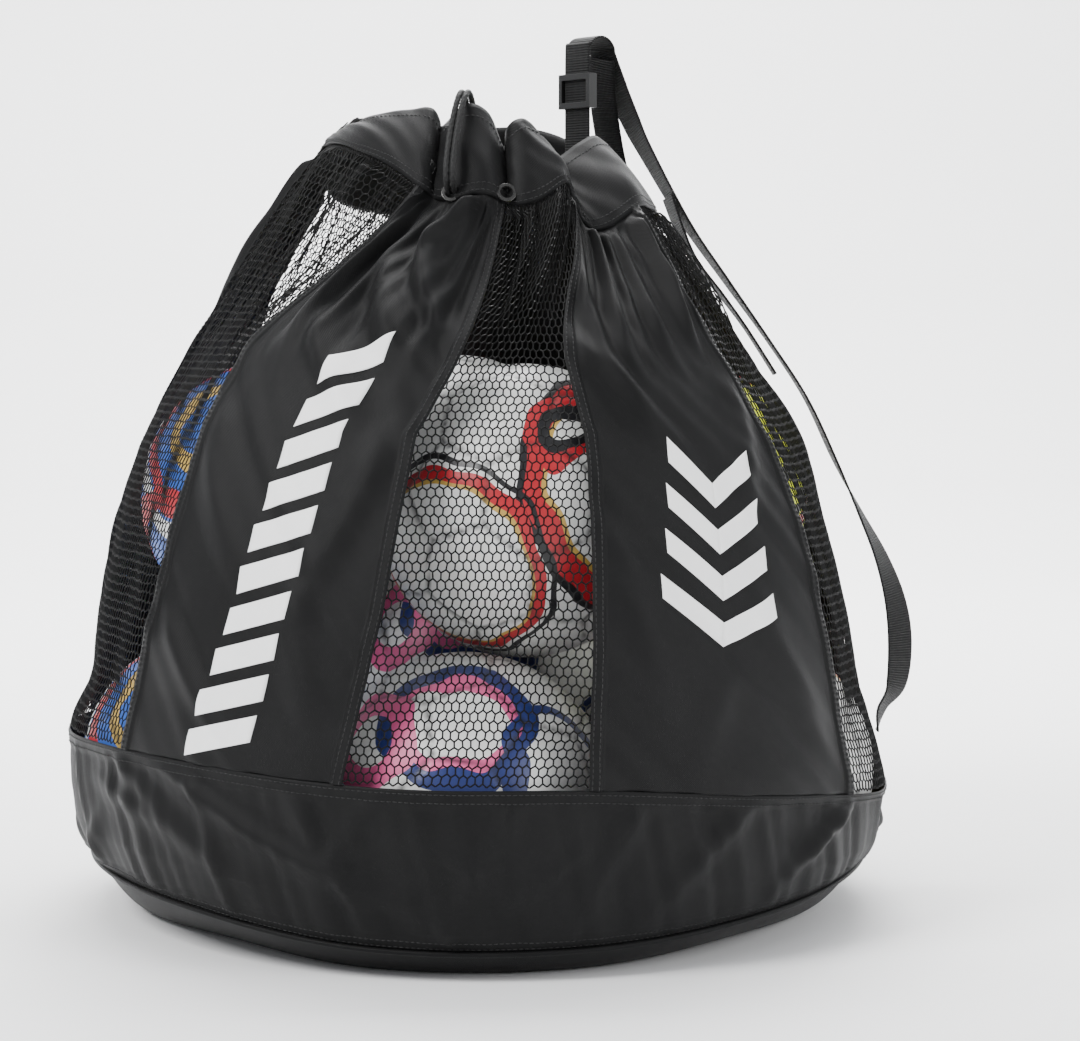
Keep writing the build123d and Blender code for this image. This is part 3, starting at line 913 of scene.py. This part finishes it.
def netting_panel(k, name):
    """Hexagonal netting, each strand a bar, closing up towards the neck."""
    wide, high = sizes().cell_width, sizes().cell_height
    hs = np.linspace(0, PANEL_TOP, 120)
    lengths, widths = up_lengths(k, hs), row_widths(k, hs)
    columns = int(widths.max() / wide / 2) + 3
    rows = int(lengths[-1] / high / 0.75) + 2
    cx, cy = np.meshgrid(np.arange(-columns, columns + 1), np.arange(-1, rows))
    cx = (cx + 0.5 * (cy % 2)) * wide
    cy = cy * 0.75 * high
    pairs = (((0.5, 0.25), (0.5, -0.25)), ((0.0, 0.5), (0.5, 0.25)), ((0.0, 0.5), (-0.5, 0.25)))
    ends = np.array([[[cx + a * wide, cy + b * high] for a, b in pair] for pair in pairs])
    x, y = ends[:, :, 0].reshape(3, 2, -1), ends[:, :, 1].reshape(3, 2, -1)
    pull = 0.5 * MM
    x = x + pull * np.sin(y * 310 + x * 140) + pull * np.sin(y * 97 - x * 60)
    y = y + pull * np.sin(x * 260 - y * 120)
    h = np.interp(y, lengths, hs)
    width = np.interp(h, hs, widths)
    closing = 1 - NET_CLOSING * smooth(GATHER_FROM, 1.0, h)
    share = x * closing / width
    keep = ((np.abs(share) * width < width / 2 + 2.5 * MM) & (y > 0) & (y < lengths[-1])).all(axis=1)
    u = STEPS * (k + 0.5 + share)
    points = skin(u, h)
    out = place(panel_angle(u, h), np.ones_like(h), np.full_like(h, 0.3))
    centres = np.stack([points[:, 0][keep], points[:, 1][keep]], axis=1)
    net = bars(name + "_net", centres, out[:, 0][keep], (STRAND_R, STRAND_R))
    return finish_piece(net, once("netting", netting, colours().net_level), nodes=(name,))


def ribbon_object(name, stations):
    """Webbing through stations of a middle point and the heading of its width, in millimetres."""
    table = np.array(stations, dtype=float)
    steps = np.linspace(0, len(table) - 1, 14 * (len(table) - 1) + 1)
    i = np.minimum(np.floor(steps).astype(int), len(table) - 2)
    f = (steps - i)[:, None]
    a, b, c, d = (table[np.clip(i + k, 0, len(table) - 1)] for k in (-1, 0, 1, 2))
    curve = through(a, b, c, d, f)
    middle = curve[:, :3] * MM
    travel = lengths_along(middle)
    even = np.linspace(0, travel[-1], int(travel[-1] / WEB_ROW))
    middle = points_at(middle, travel, even)
    heading = np.radians(np.interp(even, travel, curve[:, 3]))
    along = unit(np.gradient(middle, axis=0))
    width = np.stack([np.cos(heading), np.sin(heading), np.zeros_like(heading)], axis=1)
    width = unit(width - along * (width * along).sum(axis=1, keepdims=True))
    face = np.cross(width, along)
    half, thick = sizes().web_width / 2, sizes().web_thick / 2
    edge = 0.8 * MM
    across = np.concatenate([[-half], np.linspace(-half + edge, half - edge, 15), [half]])
    section = [(x, thick if abs(x) < half - edge / 2 else 0.4 * thick) for x in across]
    section += [(x, -y) for x, y in reversed(section)]
    section.append(section[0])
    rib = WEB_RIB_HEIGHT * np.sin(even * 2 * np.pi / WEB_RIB)
    rings = np.stack([
        middle + width * x + face * (y + math.copysign(1, y) * rib * (abs(x) < half - edge))[:, None]
        for x, y in section
    ], axis=1)
    obj = grid_object(name + "_webbing", rings)
    weld(obj)
    close_ends(obj)
    return finish_piece(obj, once("webbing", webbing, colours().web_level), nodes=(name,))


# ---- balls ------------------------------------------------------------------------------
def ball_axes():
    """Middles of a ball's 12 five-sided and 20 six-sided panels, and how far out each lies."""
    golden = (1 + 5**0.5) / 2
    fives = []
    for a in (-1, 1):
        for b in (-golden, golden):
            fives += [(0, a, b), (a, b, 0), (b, 0, a)]
    fives = unit(np.array(fives, dtype=float))
    sixes = []
    for i in range(12):
        for j in range(i + 1, 12):
            for k in range(j + 1, 12):
                trio = fives[[i, j, k]]
                if (trio @ trio.T).min() > 0.3:
                    sixes.append(unit(trio.sum(axis=0)))
    sixes = np.array(sixes)
    return np.concatenate([fives, sixes]), np.array([0.9393] * len(fives) + [0.9149] * len(sixes))


def ball_object(number):
    """Ball with grooves at the seams of its sewn panels."""
    name = f"ball_{number}_stitched"
    level = 6 if number in FRONT_BALLS else 5
    work = bmesh.new()
    bmesh.ops.create_icosphere(work, subdivisions=level, radius=1.0)
    mesh = bpy.data.meshes.new(name)
    work.to_mesh(mesh)
    work.free()
    way = np.empty(len(mesh.vertices) * 3)
    mesh.vertices.foreach_get("co", way)
    way = way.reshape(-1, 3)
    turn = np.array(Matrix.Rotation(number * 1.3, 3, (0.3, 0.5, 0.8)))
    axes, depths = ball_axes()
    facing = np.maximum(way @ (axes @ turn.T).T, 0.05)
    hits = np.sort(depths / facing, axis=1)
    seam = (hits[:, 1] - hits[:, 0]) / 0.74 * BALL_R
    groove = np.exp(-((seam / GROOVE_WIDTH) ** 2))
    points = np.array(BALL_CENTRES[number - 1]) + way * (BALL_R - GROOVE_DEPTH * groove)[:, None]
    mesh.vertices.foreach_set("co", points.ravel())
    mesh.attributes.new("ball_way", "FLOAT_VECTOR", "POINT").data.foreach_set("vector", way.ravel())
    mesh.attributes.new("ball_seam", "FLOAT", "POINT").data.foreach_set("value", groove)
    mesh.shade_smooth()
    return new_object(name, mesh)


WHITE, RED, NAVY, BLACK = (0.82, 0.82, 0.8), (0.5, 0.02, 0.03), (0.02, 0.035, 0.16), (0.015, 0.015, 0.017)
GOLD, BLUE, GREEN, PINK = (0.55, 0.36, 0.08), (0.03, 0.12, 0.5), (0.06, 0.42, 0.12), (0.75, 0.12, 0.3)
YELLOW = (0.75, 0.85, 0.03)
BALL_LOOKS = {
    "ball_white_red": (WHITE, (
        ((0.75, -0.62, 0.22), 0.62, 0.66, BLACK), ((0.75, -0.62, 0.22), 0.66, 0.76, RED),
        ((0.75, -0.62, 0.22), 0.76, 0.785, GOLD), ((-0.55, -0.75, -0.36), 0.70, 0.725, BLACK),
        ((-0.55, -0.75, -0.36), 0.745, 0.79, RED), ((-0.55, -0.75, -0.36), 0.79, 0.805, GOLD),
        ((0.25, -0.75, 0.62), 0.955, 0.985, RED), ((0.25, -0.75, 0.62), 0.985, 1.01, BLACK),
        ((-0.3, 0.9, 0.3), 0.70, 0.78, RED), ((-0.3, 0.9, 0.3), 0.80, 0.83, BLACK))),
    "ball_white_navy": (WHITE, (
        ((-0.05, -0.72, 0.68), 0.87, 0.925, NAVY), ((-0.05, -0.72, 0.68), 0.925, 0.95, PINK),
        ((-0.62, -0.62, 0.48), 0.93, 0.99, PINK), ((0.66, -0.68, 0.32), 0.90, 0.94, NAVY),
        ((0.1, 0.8, 0.6), 0.86, 0.92, NAVY), ((0.8, 0.5, 0.3), 0.88, 0.93, PINK))),
    "ball_blue": (BLUE, (
        ((-0.35, -0.75, 0.55), 0.60, 0.70, WHITE), ((-0.35, -0.75, 0.55), 0.72, 0.80, RED),
        ((-0.35, -0.75, 0.55), 0.90, 0.96, GOLD), ((-0.7, -0.55, -0.45), 0.82, 0.92, RED),
        ((0.8, -0.4, 0.2), 0.50, 0.70, WHITE), ((-0.5, -0.4, -0.75), 0.93, 1.01, GREEN),
        ((0.2, 0.9, 0.3), 0.6, 0.75, WHITE), ((0.2, 0.9, 0.3), 0.78, 0.84, RED))),
    "ball_yellow": (YELLOW, (
        ((0.6, -0.7, 0.4), 0.66, 0.76, RED), ((0.6, -0.7, 0.4), 0.78, 0.84, BLACK),
        ((0.9, -0.2, -0.4), 0.70, 0.80, BLACK), ((0.2, 0.7, 0.6), 0.6, 0.75, RED))),
}
BALL_KINDS = {
    1: "ball_white_navy", 2: "ball_white_red", 3: "ball_yellow", 4: "ball_blue", 5: "ball_blue",
    6: "ball_white_navy", 7: "ball_white_red", 8: "ball_yellow", 9: "ball_white_red", 10: "ball_blue",
}
FRONT_BALLS = (1, 2, 5, 7, 8, 10)

# ---- strap, cords and prints -------------------------------------------------------------
# Middle of the webbing in millimetres, and the heading of its width in degrees.
OUTER_RUN = (
    (81.0, 65.6, 588.0, 129), (81.0, 65.6, 675.0, 129), (82.5, 66.8, 682.0, 129),
    (86.4, 70.0, 687.1, 129), (91.9, 74.4, 689.0, 129), (97.3, 78.8, 687.1, 129),
    (101.3, 82.0, 682.0, 129), (102.8, 83.2, 675.0, 129),
    (112.9, 82.1, 650, 124), (124.0, 82.1, 625, 118), (137.0, 79.1, 598, 110), (171.0, 75.1, 538, 100),
    (203.0, 71.1, 492, 95), (237.0, 66.2, 444, 90), (268.0, 58.9, 396, 90), (292.0, 54.1, 345, 90),
    (312.1, 48.9, 303, 78), (330.0, 45.2, 265, 62), (341.0, 41.9, 230, 48), (345.0, 40.1, 196, 42),
    (341.9, 38.2, 162, 48), (330.1, 36.9, 142, 66), (326.5, 35.9, 124, 84),
)
INNER_RUN = (
    (155.7, 76.6, 560, 103), (165.0, 74.9, 534, 100), (177.5, 72.1, 508, 96), (199.2, 69.0, 480, 93),
    (219.6, 65.0, 452, 90), (243.2, 62.0, 415, 90),
)
REAR_RUN = (
    (101.1, 81.9, 673.0, 129.0), (103.0, 92.0, 640, 132), (110.0, 99.0, 598, 131), (120.1, 99.0, 556, 129),
    (130.4, 102.3, 527, 128), (141.4, 110.9, 510, 128),
)
# Middle of the two cord ends: out of the channel, through the eyelet, over the rim, down inside.
CORD_ROUTE = (
    (-19.06, -135.6, 552.5), (-21.9, -156.1, 562.6), (-20.0, -147.0, 588.0), (-15.5, -132.0, 615.0),
    (-11.0, -120.0, 631.0), (-8.0, -102.0, 631.0), (-4.0, -88.5, 612.0), (-3.0, -88.0, 580.0),
    (-3.0, -88.0, 548.0),
)
STRAND_SHIFT = (2.376, -0.334, 0.0)     # from the middle to the right-hand strand
CORD_RINGS = 380
CORD_AT_CHANNEL = 0.42                  # height of the drawcord in the collar
# Plain bars up the left solid panel: middle line from and to (control step, height share).
BARS_FROM, BARS_TO = (5.95, 0.02), (6.45, 0.76)
BAR_COUNT = 10
BAR_WIDTH, BAR_NARROWING = 56 * MM, 0.25    # of the lowest bar, and share lost by the highest
BAR_HALF_HEIGHT, BAR_LEAN = 11.5 * MM, 10 * MM
# Chevrons on the right solid panel, from the lowest and widest.
CHEVRONS_AT, CHEVRONS_TURN = (13.97, 0.40), -0.12
CHEVRON_COUNT, CHEVRON_PITCH = 4, 36 * MM
CHEVRON_REACH, CHEVRON_STEP = 52 * MM, 5 * MM
CHEVRON_RISE, CHEVRON_THICK = 30 * MM, 19 * MM
PRINT_LIFT = 1.25 * MM


def print_patch(k, corners, start, turn=0.0, cells=14):
    """Grid of points on panel k for a four-cornered mark, in metres from a start (step, share)."""
    s, t = np.meshgrid(np.linspace(0, 1, cells), np.linspace(0, 1, cells))
    a, b, c, d = (np.array(p, dtype=float) for p in corners)
    flat = (
        a * ((1 - s) * (1 - t))[..., None] + b * (s * (1 - t))[..., None]
        + c * (s * t)[..., None] + d * ((1 - s) * t)[..., None]
    )
    x = flat[..., 0] * math.cos(turn) - flat[..., 1] * math.sin(turn)
    y = flat[..., 0] * math.sin(turn) + flat[..., 1] * math.cos(turn)
    hs = np.linspace(0, 1, 60)
    h = start[1] + y / up_lengths(k, hs)[-1]
    u = start[0] + x / np.interp(h, hs, row_widths(k, hs)) * STEPS
    return skin(u, h, PRINT_LIFT)


# ---- operators --------------------------------------------------------------------------
class BALLBAG_OT_base(bpy.types.Operator):
    """Round base of the bag, the piping round it and the wrinkled band above"""

    bl_idname = "ballbag.base"
    bl_label = "Base and band"

    def execute(self, context):
        turns = 420
        phi = np.linspace(0, 360, turns, endpoint=False) - 101
        cloth = once("nylon", nylon, colours().nylon_level)
        rows = np.concatenate([np.linspace(0, 0.79, 14), np.linspace(0.8, 1, 20)])
        grid_phi, grid_t = np.meshgrid(phi, rows)
        points = base_point(grid_phi, grid_t)
        base = grid_object("base_panel_cloth", points, closed=True, thick=NYLON_THICK)
        weld(base)
        finish_piece(base, cloth, nodes=("base_panel",))

        low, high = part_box("base_piping")
        fat = (high[2] - low[2]) / 2
        ring_r = high[0] - fat
        path = place(phi, np.full_like(phi, ring_r), base_height(phi))
        angle = np.linspace(0, 2 * np.pi, 13)
        out = place(phi, np.ones_like(phi), np.zeros_like(phi))
        rings = path[None] + fat * (
            np.cos(angle)[:, None, None] * out[None] + np.sin(angle)[:, None, None] * np.array([0, 0, 1.0]))
        piping = grid_object("base_piping_roll", rings, closed=True)
        weld(piping)
        look = once("piping", nylon, colours().nylon_level * 0.8)
        finish_piece(piping, look, nodes=("base_piping",))

        rows = np.concatenate([np.linspace(0, 0.1, 6), np.linspace(0.12, 0.88, 50), np.linspace(0.9, 1, 7)])
        grid_phi, grid_t = np.meshgrid(phi, rows)
        fold = 1.2 * MM * (smooth(0.89, 0.91, grid_t) + 1 - smooth(0.08, 0.1, grid_t))
        points = band_point(grid_phi, grid_t, fold + 1.0 * MM)
        band = grid_object("bottom_band_cloth", points, closed=True, thick=NYLON_THICK)
        finish_piece(band, cloth, nodes=("bottom_band",))
        ring = np.append(phi, phi[0] + 360)
        paths = [band_point(ring, np.full_like(ring, t), 2.3 * MM) for t in (0.03, 0.07, 0.925, 0.975)]
        outs = [place(ring, np.ones_like(ring), np.zeros_like(ring))] * 4
        stitches = stitch_rows("stitches_band", paths, outs)
        return {"FINISHED"}


class BALLBAG_OT_solid_panels(bpy.types.Operator):
    """Four panels of coated cloth with folded, double-stitched edges"""

    bl_idname = "ballbag.solid_panels"
    bl_label = "Solid panels"

    def execute(self, context):
        for k, (name, kind) in enumerate(PANELS):
            if kind == "solid":
                solid_panel(k, name)
        return {"FINISHED"}


class BALLBAG_OT_mesh_panels(bpy.types.Operator):
    """Four panels of hexagonal netting"""

    bl_idname = "ballbag.mesh_panels"
    bl_label = "Mesh panels"

    def execute(self, context):
        for k, (name, kind) in enumerate(PANELS):
            if kind == "mesh":
                netting_panel(k, name)
        return {"FINISHED"}


class BALLBAG_OT_collar(bpy.types.Operator):
    """Gathered double collar with the drawcord running inside it"""

    bl_idname = "ballbag.collar"
    bl_label = "Collar"

    def execute(self, context):
        turns = 480
        us = np.linspace(0, len(HEM), turns, endpoint=False)
        s = np.linspace(0, 2, 45)
        grid_u, grid_s = np.meshgrid(us, s)
        t = np.where(grid_s <= 1, grid_s, 2 - grid_s)
        depth = 7.5 * MM * np.sin(np.pi * t) ** 0.6 + 1.0 * MM
        inside = smooth(1.0, 1.05, grid_s) * (1 - smooth(1.97, 2, grid_s))
        lift = np.where(grid_s <= 1, COLLAR_LIFT, COLLAR_LIFT - depth * inside)
        collar = grid_object("collar_cloth", collar_point(grid_u, t, lift), closed=True)
        weld(collar)
        finish_piece(collar, once("nylon", nylon, colours().nylon_level), nodes=("collar",))
        ring = np.linspace(0, len(HEM), turns)
        paths, outs = [], []
        for t in (0.05, 0.12, 0.86):
            line = collar_point(ring, np.full_like(ring, t), COLLAR_LIFT)
            paths.append(line)
            outs.append(unit(collar_point(ring, np.full_like(ring, t), COLLAR_LIFT + MM) - line))
        stitches = stitch_rows("stitches_collar", paths, outs)
        path = collar_point(ring, np.full_like(ring, CORD_AT_CHANNEL), -2.6 * MM)
        rings = tube_rings(path, CORD_R, 12, knobs=braid)
        loop = grid_object("drawcord_loop_braid", rings, closed=True)
        weld(loop)
        finish_piece(loop, once("cord", cord_yarn, colours().cord_level), nodes=("drawcord_loop",))
        return {"FINISHED"}


class BALLBAG_OT_hardware(bpy.types.Operator):
    """Finishes of the eyelets, the cord lock and the strap's slider"""

    bl_idname = "ballbag.hardware"
    bl_label = "Hardware"

    def execute(self, context):
        metal = once("black_metal", lacquer, colours().eyelet_level)
        moulded = once("moulding", moulding, colours().moulding_level)
        looks = {
            "eyelet_cord": metal,
            "eyelet_spare": metal,
            "cord_lock_body": moulded,
            "cord_lock_button": moulded,
            "cord_lock_spring": once("spring_steel", wire_steel),
        }
        for node, look in looks.items():
            obj = bpy.data.objects[node]
            obj.data.materials.clear()
            obj.data.materials.append(look)
        rounded_copy("strap_slider", "strap_slider_moulded", moulded, "slider")
        return {"FINISHED"}


class BALLBAG_OT_cords(bpy.types.Operator):
    """Two braided cord ends, through the eyelet, over the rim and into the cord lock, and their knot"""

    bl_idname = "ballbag.cords"
    bl_label = "Cord ends and knot"

    def execute(self, context):
        yarn = once("cord", cord_yarn, colours().cord_level)
        t = np.linspace(0, 2 * np.pi, 181)
        loops = np.stack([
            (np.sin(t) + 2 * np.sin(2 * t)) * 1.55,
            (np.cos(t) - 2 * np.cos(2 * t)) * 1.55,
            -np.sin(3 * t) * 4.0,
        ], axis=1) * MM
        low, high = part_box("cord_knot")
        middle = np.array([(a + b) / 2 for a, b in zip(low, high)])
        rings = tube_rings(loops + middle, CORD_R * 0.98, 14, knobs=braid)
        knot = grid_object("cord_knot_braid", rings, closed=True)
        weld(knot)
        finish_piece(knot, yarn, nodes=("cord_knot",))
        for side, name in ((-1, "drawcord_end_left"), (1, "drawcord_end_right")):
            line = bpy.data.curves.new("route", "CURVE")
            line.dimensions = "3D"
            spline = line.splines.new("NURBS")
            route = (np.array(CORD_ROUTE) + side * np.array(STRAND_SHIFT)) * MM
            spline.points.add(len(route) - 1)
            for point, spot in zip(spline.points, route):
                point.co = (*spot, 1.0)
            spline.order_u = 3
            spline.use_endpoint_u = True
            spline.resolution_u = 32
            guide = bpy.data.objects.new("route", line)
            followed = bpy.data.meshes.new_from_object(guide)
            path = resample([v.co for v in followed.vertices], CORD_RINGS)
            bpy.data.objects.remove(guide)
            strand = grid_object(name + "_braid", tube_rings(path, CORD_R, 16, knobs=braid), closed=True)
            close_ends(strand)
            finish_piece(strand, yarn, nodes=(name,))
        return {"FINISHED"}


class BALLBAG_OT_strap(bpy.types.Operator):
    """Shoulder strap: carry loop and long run, inner run and rear run of ribbed webbing"""

    bl_idname = "ballbag.strap"
    bl_label = "Strap"

    def execute(self, context):
        runs = {"strap_outer_run": OUTER_RUN, "strap_inner_run": INNER_RUN, "strap_rear_run": REAR_RUN}
        for name, stations in runs.items():
            ribbon_object(name, stations)
        return {"FINISHED"}


class BALLBAG_OT_balls(bpy.types.Operator):
    """Ten stitched balls with plain bands of colour"""

    bl_idname = "ballbag.balls"
    bl_label = "Balls"

    def execute(self, context):
        for number, kind in BALL_KINDS.items():
            look = once(kind, ball_finish, *BALL_LOOKS[kind])
            finish_piece(ball_object(number), look, nodes=(f"ball_{number}",))
        return {"FINISHED"}


class BALLBAG_OT_prints(bpy.types.Operator):
    """Plain white marks: slanting bars on the left panel and nested chevrons on the right"""

    bl_idname = "ballbag.prints"
    bl_label = "Prints"

    def execute(self, context):
        ink = once("print_ink", print_ink, colours().print_level)
        marks = []
        for n in range(BAR_COUNT):
            share = (n + 0.5) / BAR_COUNT
            start = [a + (b - a) * share for a, b in zip(BARS_FROM, BARS_TO)]
            wide = BAR_WIDTH * (1 - BAR_NARROWING * share) / 2
            low, high = -BAR_HALF_HEIGHT, BAR_HALF_HEIGHT
            corners = (
                (-wide, low - BAR_LEAN), (wide, low + BAR_LEAN),
                (wide, high + BAR_LEAN), (-wide, high - BAR_LEAN),
            )
            marks.append(grid_object("bar", print_patch(1, corners, start)))
        finish_piece(join("print_bars", marks), ink)
        marks = []
        for n in range(CHEVRON_COUNT):
            y = (n - (CHEVRON_COUNT - 1) / 2) * CHEVRON_PITCH
            reach = CHEVRON_REACH - CHEVRON_STEP * n
            tip, end = y - CHEVRON_RISE / 2, y + CHEVRON_RISE / 2
            for side in (-1, 1):
                corners = [
                    (0, tip), (side * reach, end),
                    (side * reach, end + CHEVRON_THICK), (0, tip + CHEVRON_THICK),
                ]
                if side < 0:
                    corners = [corners[1], corners[0], corners[3], corners[2]]
                patch = print_patch(3, corners, CHEVRONS_AT, turn=CHEVRONS_TURN)
                marks.append(grid_object("arm", patch))
        finish_piece(join("print_chevrons", marks), ink)
        return {"FINISHED"}


# Cross-section of the paper sweep (depth, height), and its columns from left to right.
PAPER_SWEEP = ((-5.0, 0.0), (2.6, 0.0), (3.3, 0.12), (3.8, 0.5), (4.1, 1.2), (4.2, 5.0))
PAPER_ACROSS = np.linspace(-6, 6, 9)
# Name, place, width and power in watts of each light, and the spot that it faces.
BAG_MIDDLE, BACKDROP = (0.0, 0.0, 0.3), (0.0, 4.2, 0.6)
LIGHTS = (
    ("key", (-2.2, -1.7, 2.6), 1.3, 150, BAG_MIDDLE),
    ("fill", (2.6, -1.6, 1.4), 1.4, 55, BAG_MIDDLE),
    ("back", (0.4, 2.4, 2.6), 1.8, 90, BAG_MIDDLE),
    ("paper", (0.0, 1.5, 3.6), 3.0, 420, BACKDROP),
)
SKY_COLOUR, SKY_STRENGTH = (0.94, 0.96, 1.0, 1.0), 0.75
FOCAL_LENGTH, SENSOR_WIDTH = 92, 36
CAMERA_AT, CAMERA_AIM = (0.0, -2.2, 0.476), (0.049, 0.0, 0.30)


def turn_towards(spot, target):
    """Turn of a light or camera at a spot that looks at a target."""
    return (Vector(target) - Vector(spot)).to_track_quat("-Z", "Y").to_euler()


class BALLBAG_OT_stage(bpy.types.Operator):
    """Pale floor and backdrop, soft studio lights and the camera"""

    bl_idname = "ballbag.stage"
    bl_label = "Stage"

    def execute(self, context):
        line = resample([(0, y, z) for y, z in PAPER_SWEEP], 60)
        floor = grid_object("floor", np.stack([line + (x, 0, 0) for x in PAPER_ACROSS], axis=1))
        paper = Finish("paper", roughness=0.75)
        grain = paper.noise(30.0, 3.0)
        level = colours().floor_level
        paper.drive("Base Color", paper.mix(grain, shade(level * 0.985), shade(level)))
        floor.data.materials.append(paper.material)
        for name, spot, size, power, target in LIGHTS:
            lamp = bpy.data.lights.new(name, "AREA")
            lamp.size = size
            lamp.energy = power
            lamp_object = new_object(name, lamp)
            lamp_object.location = spot
            lamp_object.rotation_euler = turn_towards(spot, target)
        world = bpy.data.worlds.new("studio")
        world.use_nodes = True
        sky = world.node_tree.nodes["Background"]
        sky.inputs["Color"].default_value = SKY_COLOUR
        sky.inputs["Strength"].default_value = SKY_STRENGTH
        context.scene.world = world
        lens = bpy.data.cameras.new("camera")
        lens.lens = FOCAL_LENGTH
        lens.sensor_width = SENSOR_WIDTH
        camera = new_object("camera", lens)
        camera.location = CAMERA_AT
        camera.rotation_euler = turn_towards(CAMERA_AT, CAMERA_AIM)
        context.scene.camera = camera
        return {"FINISHED"}


class BALLBAG_PT_sidebar(bpy.types.Panel):
    """Sizes, colours and the pieces in the order they are made"""

    bl_idname = "BALLBAG_PT_sidebar"
    bl_label = "Mesh ball bag"
    bl_space_type = "VIEW_3D"
    bl_region_type = "UI"
    bl_category = "Ball Bag"

    def draw(self, context):
        for group in (context.scene.bag_sizes, context.scene.bag_colours):
            for name in group.bl_rna.properties.keys():
                if name not in ("rna_type", "name"):
                    self.layout.prop(group, name)
        for operator in OPERATORS:
            self.layout.operator(operator.bl_idname)


OPERATORS = (
    BALLBAG_OT_base, BALLBAG_OT_solid_panels, BALLBAG_OT_mesh_panels, BALLBAG_OT_collar, BALLBAG_OT_hardware,
    BALLBAG_OT_cords, BALLBAG_OT_strap, BALLBAG_OT_balls, BALLBAG_OT_prints, BALLBAG_OT_stage,
)
CLASSES = (BagSizes, BagColours, *OPERATORS, BALLBAG_PT_sidebar)


def register():
    for cls in CLASSES:
        bpy.utils.register_class(cls)
    bpy.types.Scene.bag_sizes = bpy.props.PointerProperty(type=BagSizes)
    bpy.types.Scene.bag_colours = bpy.props.PointerProperty(type=BagColours)


def unregister():
    del bpy.types.Scene.bag_colours
    del bpy.types.Scene.bag_sizes
    for cls in reversed(CLASSES):
        bpy.utils.unregister_class(cls)


def main():
    register()
    for operator in OPERATORS:
        getattr(bpy.ops.ballbag, operator.bl_idname.split(".")[1])()


if __name__ == "__main__":
    main()
